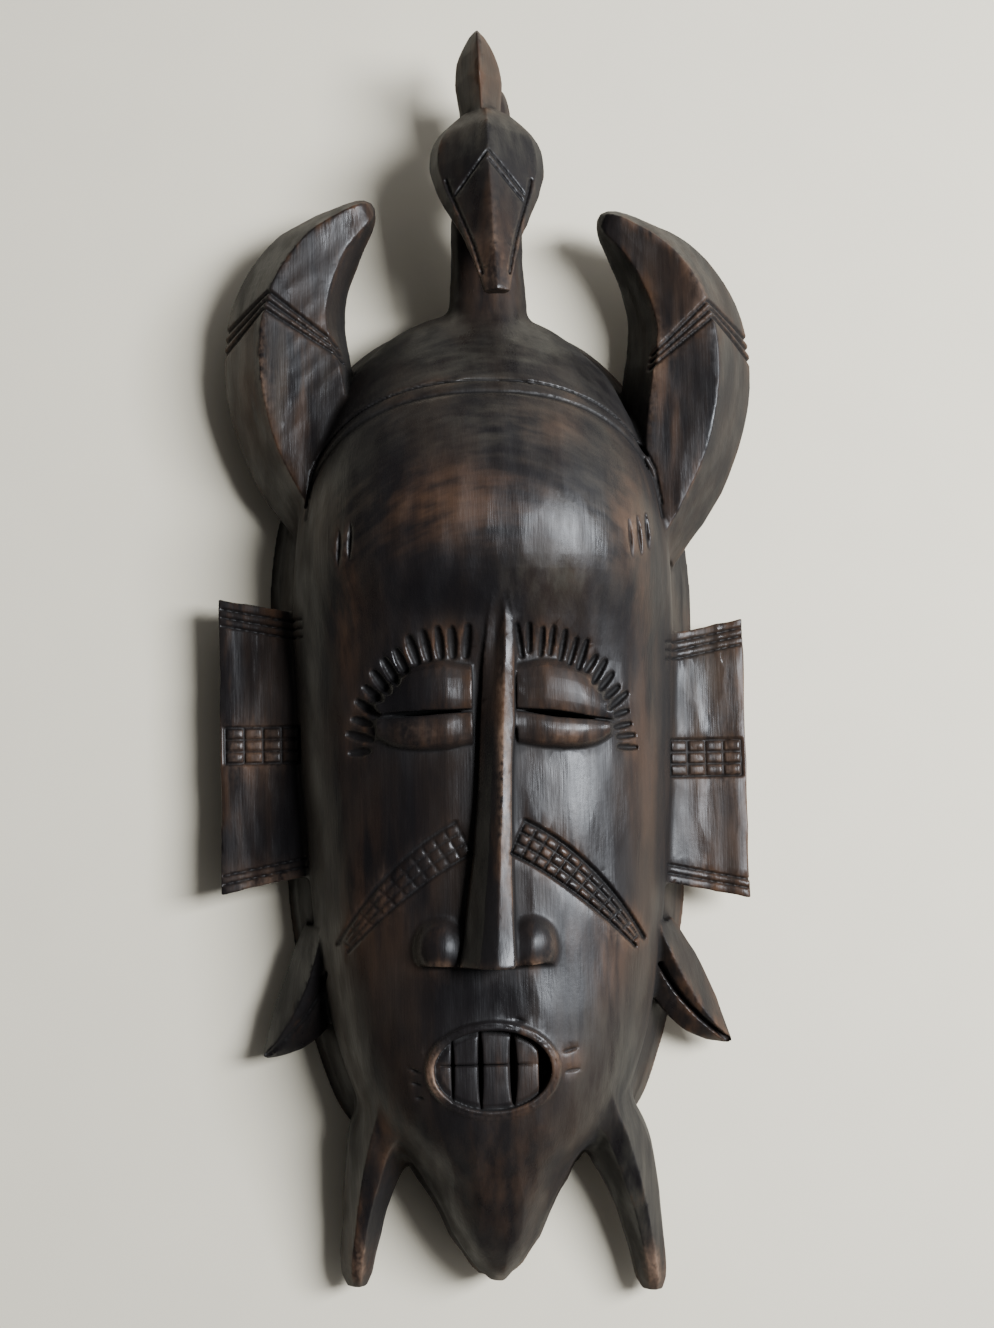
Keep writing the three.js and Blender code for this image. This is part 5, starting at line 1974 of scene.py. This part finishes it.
@dataclass
class Mask:
    """The whole mask: its sub-assemblies, the block they are carved from and its finish."""

    voxel: float
    most_triangles: int = 190000
    margin: float = 3.0
    skin: float = 0.02
    face_marks_above: float = 21.0
    horn_marks_above: float = 15.0
    bird_marks_above: float = 46.0
    fin_marks_above: float = 15.0
    scoops_above: float = 6.0
    swell: float = 0.35
    swell_cell: float = 16.0
    swell_seed: int = 3
    fine_passes: int = 3
    wide_passes: int = 10
    face: FaceShell = field(default_factory=FaceShell)
    finish: WoodFinish = field(default_factory=WoodFinish)

    def build(self, low: Vector, high: Vector) -> bpy.types.Object:
        """Carve the mask inside a box and return its object.

        Args:
            low: The box's low corner in metres.
            high: The box's high corner in metres.

        Returns:
            The finished piece.
        """
        shift = carver_shift(low, high)
        box_low = np.array(low) / MM - shift
        box_high = np.array(high) / MM - shift
        block = CarvingBlock(tuple(box_low - self.margin), tuple(box_high + self.margin), self.voxel)
        self.carve(block)
        block.keep_within(box_low + self.skin, box_high - self.skin)
        points, faces = block.surface()
        LOG.info("carved surface: %d points, %d faces", len(points), len(faces))
        mesh = self.mesh(points, faces, shift)
        self.record_wear(mesh, block, shift)
        return self.dress(mesh)

    def carve(self, block: CarvingBlock) -> None:
        """Work through the carving in order: forms, cuts, hollow, then tool marks.

        Args:
            block: The block of wood.
        """
        fan, lattice = fan_tree(), lattice_tree()
        horns = [
            Horn(Side.LEFT, rise=2.2, fold_in=(0.75, 0.8, 0.7, 0.35, 0.1, 0)),
            Horn(Side.RIGHT, rise=-2.4, fold_in=(0.3, 0.35, 0.25, 0.1, 0, 0))]
        bird = BirdCrest()
        ears = [
            EarPanel(Side.LEFT, middle=-26.5, height=99.0, reach=EAR_REACH, lattice=lattice),
            EarPanel(Side.RIGHT, middle=-33.5, height=94.5, reach=87.8, lattice=lattice)]
        fins = [
            JawFin(
                Side.LEFT, top=(61, -86), bulge=(70.5, -104), tip=(76.5, -130.5), low=(46, -129),
                slit_cut=Tool(2.0, 1.0)),
            JawFin(
                Side.RIGHT, top=(61.6, -86.5), bulge=(75, -105), tip=(81.4, -129), low=(54, -128.5),
                slit_cut=Tool(2.0, 3.4))]
        legs = [
            Leg(Side.LEFT, root=29, foot=46, end=FEET_Y + LEFT_FOOT_RISE),
            Leg(Side.RIGHT, root=30, foot=52, end=FEET_Y)]
        eyes = [
            Eye(
                Side.LEFT, self.face, fan, fall=1.2, height=1.1, cuts=13,
                cut=Tool(3.7, 1.6, taper=0.25, flat=0.45)),
            Eye(
                Side.RIGHT, self.face, fan, fall=3.6, height=1.5, cuts=16,
                cut=Tool(2.5, 1.6, taper=0.25, flat=0.45))]
        nose, mouth, surface = Nose(self.face), Mouth(self.face), Surface()
        scars = [ScarBand(Side.LEFT, lattice, depth=0.45), ScarBand(Side.RIGHT, lattice, depth=1.3)]
        for form in (self.face, *horns, *ears, *fins, *legs, bird, nose, *eyes, mouth):
            form.carve(block)
            LOG.info("joined %s", type(form).__name__)
        self.cut_marks(block, [surface, *eyes, mouth, *scars], self.face_marks_above)
        self.cut_marks(block, ears, ears[0].z)
        self.cut_marks(block, horns, self.horn_marks_above)
        self.cut_marks(block, [bird], self.bird_marks_above)
        self.cut_marks(block, fins, self.fin_marks_above)
        tools = CutPlan(block)
        surface.scoop(tools)
        block.engrave(tools.depths, self.scoops_above)
        self.face.empty(block)
        for opening in (*eyes, mouth):
            opening.open(block)
        swells = unevenness(block.distances.shape, block.voxel, self.swell_cell, self.swell_seed)
        block.distances += self.swell * swells
        LOG.info("cut marks, hollow and openings")

    def cut_marks(self, block: CarvingBlock, makers: Sequence[object], above: float) -> None:
        """Cut the marks of several sub-assemblies, above a height.

        Args:
            block: The block of wood.
            makers: The sub-assemblies.
            above: The height.
        """
        plan = CutPlan(block)
        for maker in makers:
            maker.mark(plan)
        block.engrave(plan.depths, above)

    def mesh(self, points: Array, faces: Array, shift: Array) -> bpy.types.Mesh:
        """Return a mesh in metres, thinned to the most triangles allowed.

        Args:
            points: The points, in the carver's frame.
            faces: The four-sided faces.
            shift: The move from the carver's frame to the part's.

        Returns:
            The mesh.
        """
        mesh = bpy.data.meshes.new("mask_carving")
        mesh.vertices.add(len(points))
        mesh.vertices.foreach_set("co", ((points + shift) * MM).astype(np.float32).ravel())
        mesh.loops.add(faces.size)
        mesh.loops.foreach_set("vertex_index", faces.astype(np.int32).ravel())
        mesh.polygons.add(len(faces))
        mesh.polygons.foreach_set("loop_start", np.arange(0, faces.size, faces.shape[1], dtype=np.int32))
        mesh.update(calc_edges=True)
        host = bpy.data.objects.new("mask_block", mesh)
        bpy.context.scene.collection.objects.link(host)
        thin = host.modifiers.new("thin", "DECIMATE")
        thin.ratio = min(self.most_triangles / (2 * len(faces)), 1.0)
        result = bpy.data.meshes.new_from_object(host.evaluated_get(bpy.context.evaluated_depsgraph_get()))
        bpy.data.objects.remove(host)
        bpy.data.meshes.remove(mesh)
        result.polygons.foreach_set("use_smooth", [True] * len(result.polygons))
        LOG.info("thinned to %d faces", len(result.polygons))
        return result

    def record_wear(self, mesh: bpy.types.Mesh, block: CarvingBlock, shift: Array) -> None:
        """Keep on the mesh where its edges stand out, where its hollows take painted shade, and its patches.

        Args:
            mesh: The mesh.
            block: The block of wood.
            shift: The move from the carver's frame to the part's.
        """
        points = np.empty(len(mesh.vertices) * 3, np.float32)
        mesh.vertices.foreach_get("co", points)
        points = points.reshape(-1, 3) / MM - shift
        near = blurred(block.distances, self.fine_passes) - block.distances
        coarse = block.distances[::2, ::2, ::2]
        far = blurred(coarse, self.wide_passes) - coarse
        fine = block.sample(near, points) / self.voxel
        wide = self.sample_coarse(far, points, block)
        for name, value in self.finish.wear(points, fine, wide).items():
            layer = mesh.attributes.new(name, "FLOAT", "POINT")
            layer.data.foreach_set("value", np.clip(value, 0, 1).astype(np.float32))

    def sample_coarse(self, values: Array, points: Array, block: CarvingBlock) -> Array:
        """Return values of every second sample, taken at the nearest one.

        Args:
            values: The values.
            points: The points, in the carver's frame.
            block: The block of wood.

        Returns:
            One value for each point.
        """
        index = np.round((points / block.voxel - block.start) / 2).astype(int)
        index = np.clip(index, 0, np.array(values.shape) - 1)
        return values[index[:, 0], index[:, 1], index[:, 2]]

    def dress(self, mesh: bpy.types.Mesh) -> bpy.types.Object:
        """Return the piece with its material, tied to the part.

        Args:
            mesh: The mesh.

        Returns:
            The piece.
        """
        piece = bpy.data.objects.new("mask_carving", mesh)
        bpy.context.scene.collection.objects.link(piece)
        mesh.materials.clear()
        mesh.materials.append(self.finish.material())
        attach(piece, BODY)
        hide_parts(NODE)
        return piece


@dataclass(frozen=True)
class Studio:
    """The pale floor, the window-like light and the camera that looks down on the mask."""

    scale: float = 0.334
    picture_height: float = 1328.0
    focal_pixels: float = 1916.0
    sensor: float = 36.0
    aim: Triple = (4.2, -1.0, 25.0)
    tilt_across: float = 2.0
    tilt_up: float = 5.0
    roll: float = 1.2
    floor_size: float = 6.0
    floor_tone: Triple = (0.90, 0.815, 0.635)
    floor_shade: float = 0.94
    floor_mottle: Grain = Grain((30, 30, 30), 3)
    floor_roughness: float = 0.8
    window_place: Triple = (0.62, 0.10, 0.88)
    window_size: Pair = (0.30, 0.56)
    window_watts: float = 26.5
    window_tone: Triple = (0.88, 0.93, 1.0)
    window_aim: Triple = (0.0, 0.0, 0.03)
    room_tone: Triple = (0.92, 0.94, 1.0)
    room_mix: Pair = (0.85, 0.30)
    room_range: Pair = (0.10, 0.78)
    room_dark: float = 0.055
    room_bright: float = 1.0

    def camera(self, shift: Array) -> None:
        """Place the camera as the photograph was taken, seen from above.

        Args:
            shift: The move from the carver's frame to the part's.
        """
        lean_across, lean_up = (math.tan(math.radians(tilt)) for tilt in (self.tilt_across, self.tilt_up))
        back = Vector((-lean_across, -lean_up, 1)).normalized()
        right = Vector((0, 1, 0)).cross(back).normalized()
        up = back.cross(right)
        turn = math.radians(self.roll)
        across = right * math.cos(turn) - up * math.sin(turn)
        upward = right * math.sin(turn) + up * math.cos(turn)
        aim = Vector(self.aim) + Vector(shift)
        place = (aim + back * self.scale * self.focal_pixels) * MM
        matrix = Matrix((across, upward, back)).transposed().to_4x4()
        matrix.translation = place
        data = bpy.data.cameras.new("camera")
        data.sensor_width = self.sensor
        data.lens = self.sensor * self.focal_pixels / self.picture_height
        camera = bpy.data.objects.new("camera", data)
        camera.matrix_world = matrix
        bpy.context.scene.collection.objects.link(camera)
        bpy.context.scene.camera = camera

    def floor(self) -> None:
        """Lay the pale floor under the mask."""
        half = self.floor_size / 2
        mesh = bpy.data.meshes.new("floor")
        corners = [(-half, -half, 0), (half, -half, 0), (half, half, 0), (-half, half, 0)]
        mesh.from_pydata(corners, [], [(0, 1, 2, 3)])
        material = bpy.data.materials.new("pale_floor")
        material.use_nodes = True
        sheet = ShaderSheet(material.node_tree)
        place = sheet.add("ShaderNodeTexCoord").outputs["Object"]
        mottle = sheet.noise(place, self.floor_mottle)
        shade = tuple(tone * self.floor_shade for tone in self.floor_tone)
        shader = material.node_tree.nodes["Principled BSDF"]
        sheet.link(sheet.mix(shade, self.floor_tone, mottle), shader.inputs["Base Color"])
        shader.inputs["Roughness"].default_value = self.floor_roughness
        mesh.materials.append(material)
        floor = bpy.data.objects.new("floor", mesh)
        bpy.context.scene.collection.objects.link(floor)
        floor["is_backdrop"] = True

    def window(self) -> None:
        """Hang a soft rectangular light, like a window, that shines at the mask's middle."""
        data = bpy.data.lights.new("window", "AREA")
        data.shape = "RECTANGLE"
        data.size, data.size_y = self.window_size
        data.energy = self.window_watts
        data.color = self.window_tone
        light = bpy.data.objects.new("window", data)
        light.location = self.window_place
        aim = Vector(self.window_aim) - Vector(self.window_place)
        light.rotation_euler = aim.to_track_quat("-Z", "Y").to_euler()
        bpy.context.scene.collection.objects.link(light)

    def room(self) -> None:
        """Set the room's own light, which is darker on the side away from the window."""
        world = bpy.data.worlds.new("room")
        world.use_nodes = True
        sheet = ShaderSheet(world.node_tree)
        backdrop = world.node_tree.nodes["Background"]
        backdrop.inputs["Color"].default_value = (*self.room_tone, 1.0)
        way = sheet.add("ShaderNodeTexCoord").outputs["Generated"]
        x, y, _ = sheet.add("ShaderNodeSeparateXYZ", {0: way}).outputs
        brightness = sheet.add("ShaderNodeMapRange", {
            "Value": sheet.sum(x, y, self.room_mix), "From Min": self.room_range[0],
            "From Max": self.room_range[1], "To Min": self.room_dark, "To Max": self.room_bright})
        sheet.link(brightness.outputs[0], backdrop.inputs["Strength"])
        bpy.context.scene.world = world


def main() -> None:
    """Load the part, carve its visual model, and set up the studio."""
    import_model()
    low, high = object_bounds()
    studio = Studio()
    studio.camera(carver_shift(low, high))
    studio.floor()
    studio.window()
    studio.room()
    piece = Mask(voxel=FINE_VOXEL).build(low, high)
    LOG.info("piece %s: %d faces", piece.name, len(piece.data.polygons))


if __name__ == "__main__":
    logging.basicConfig(level=logging.INFO, format="%(message)s")
    main()
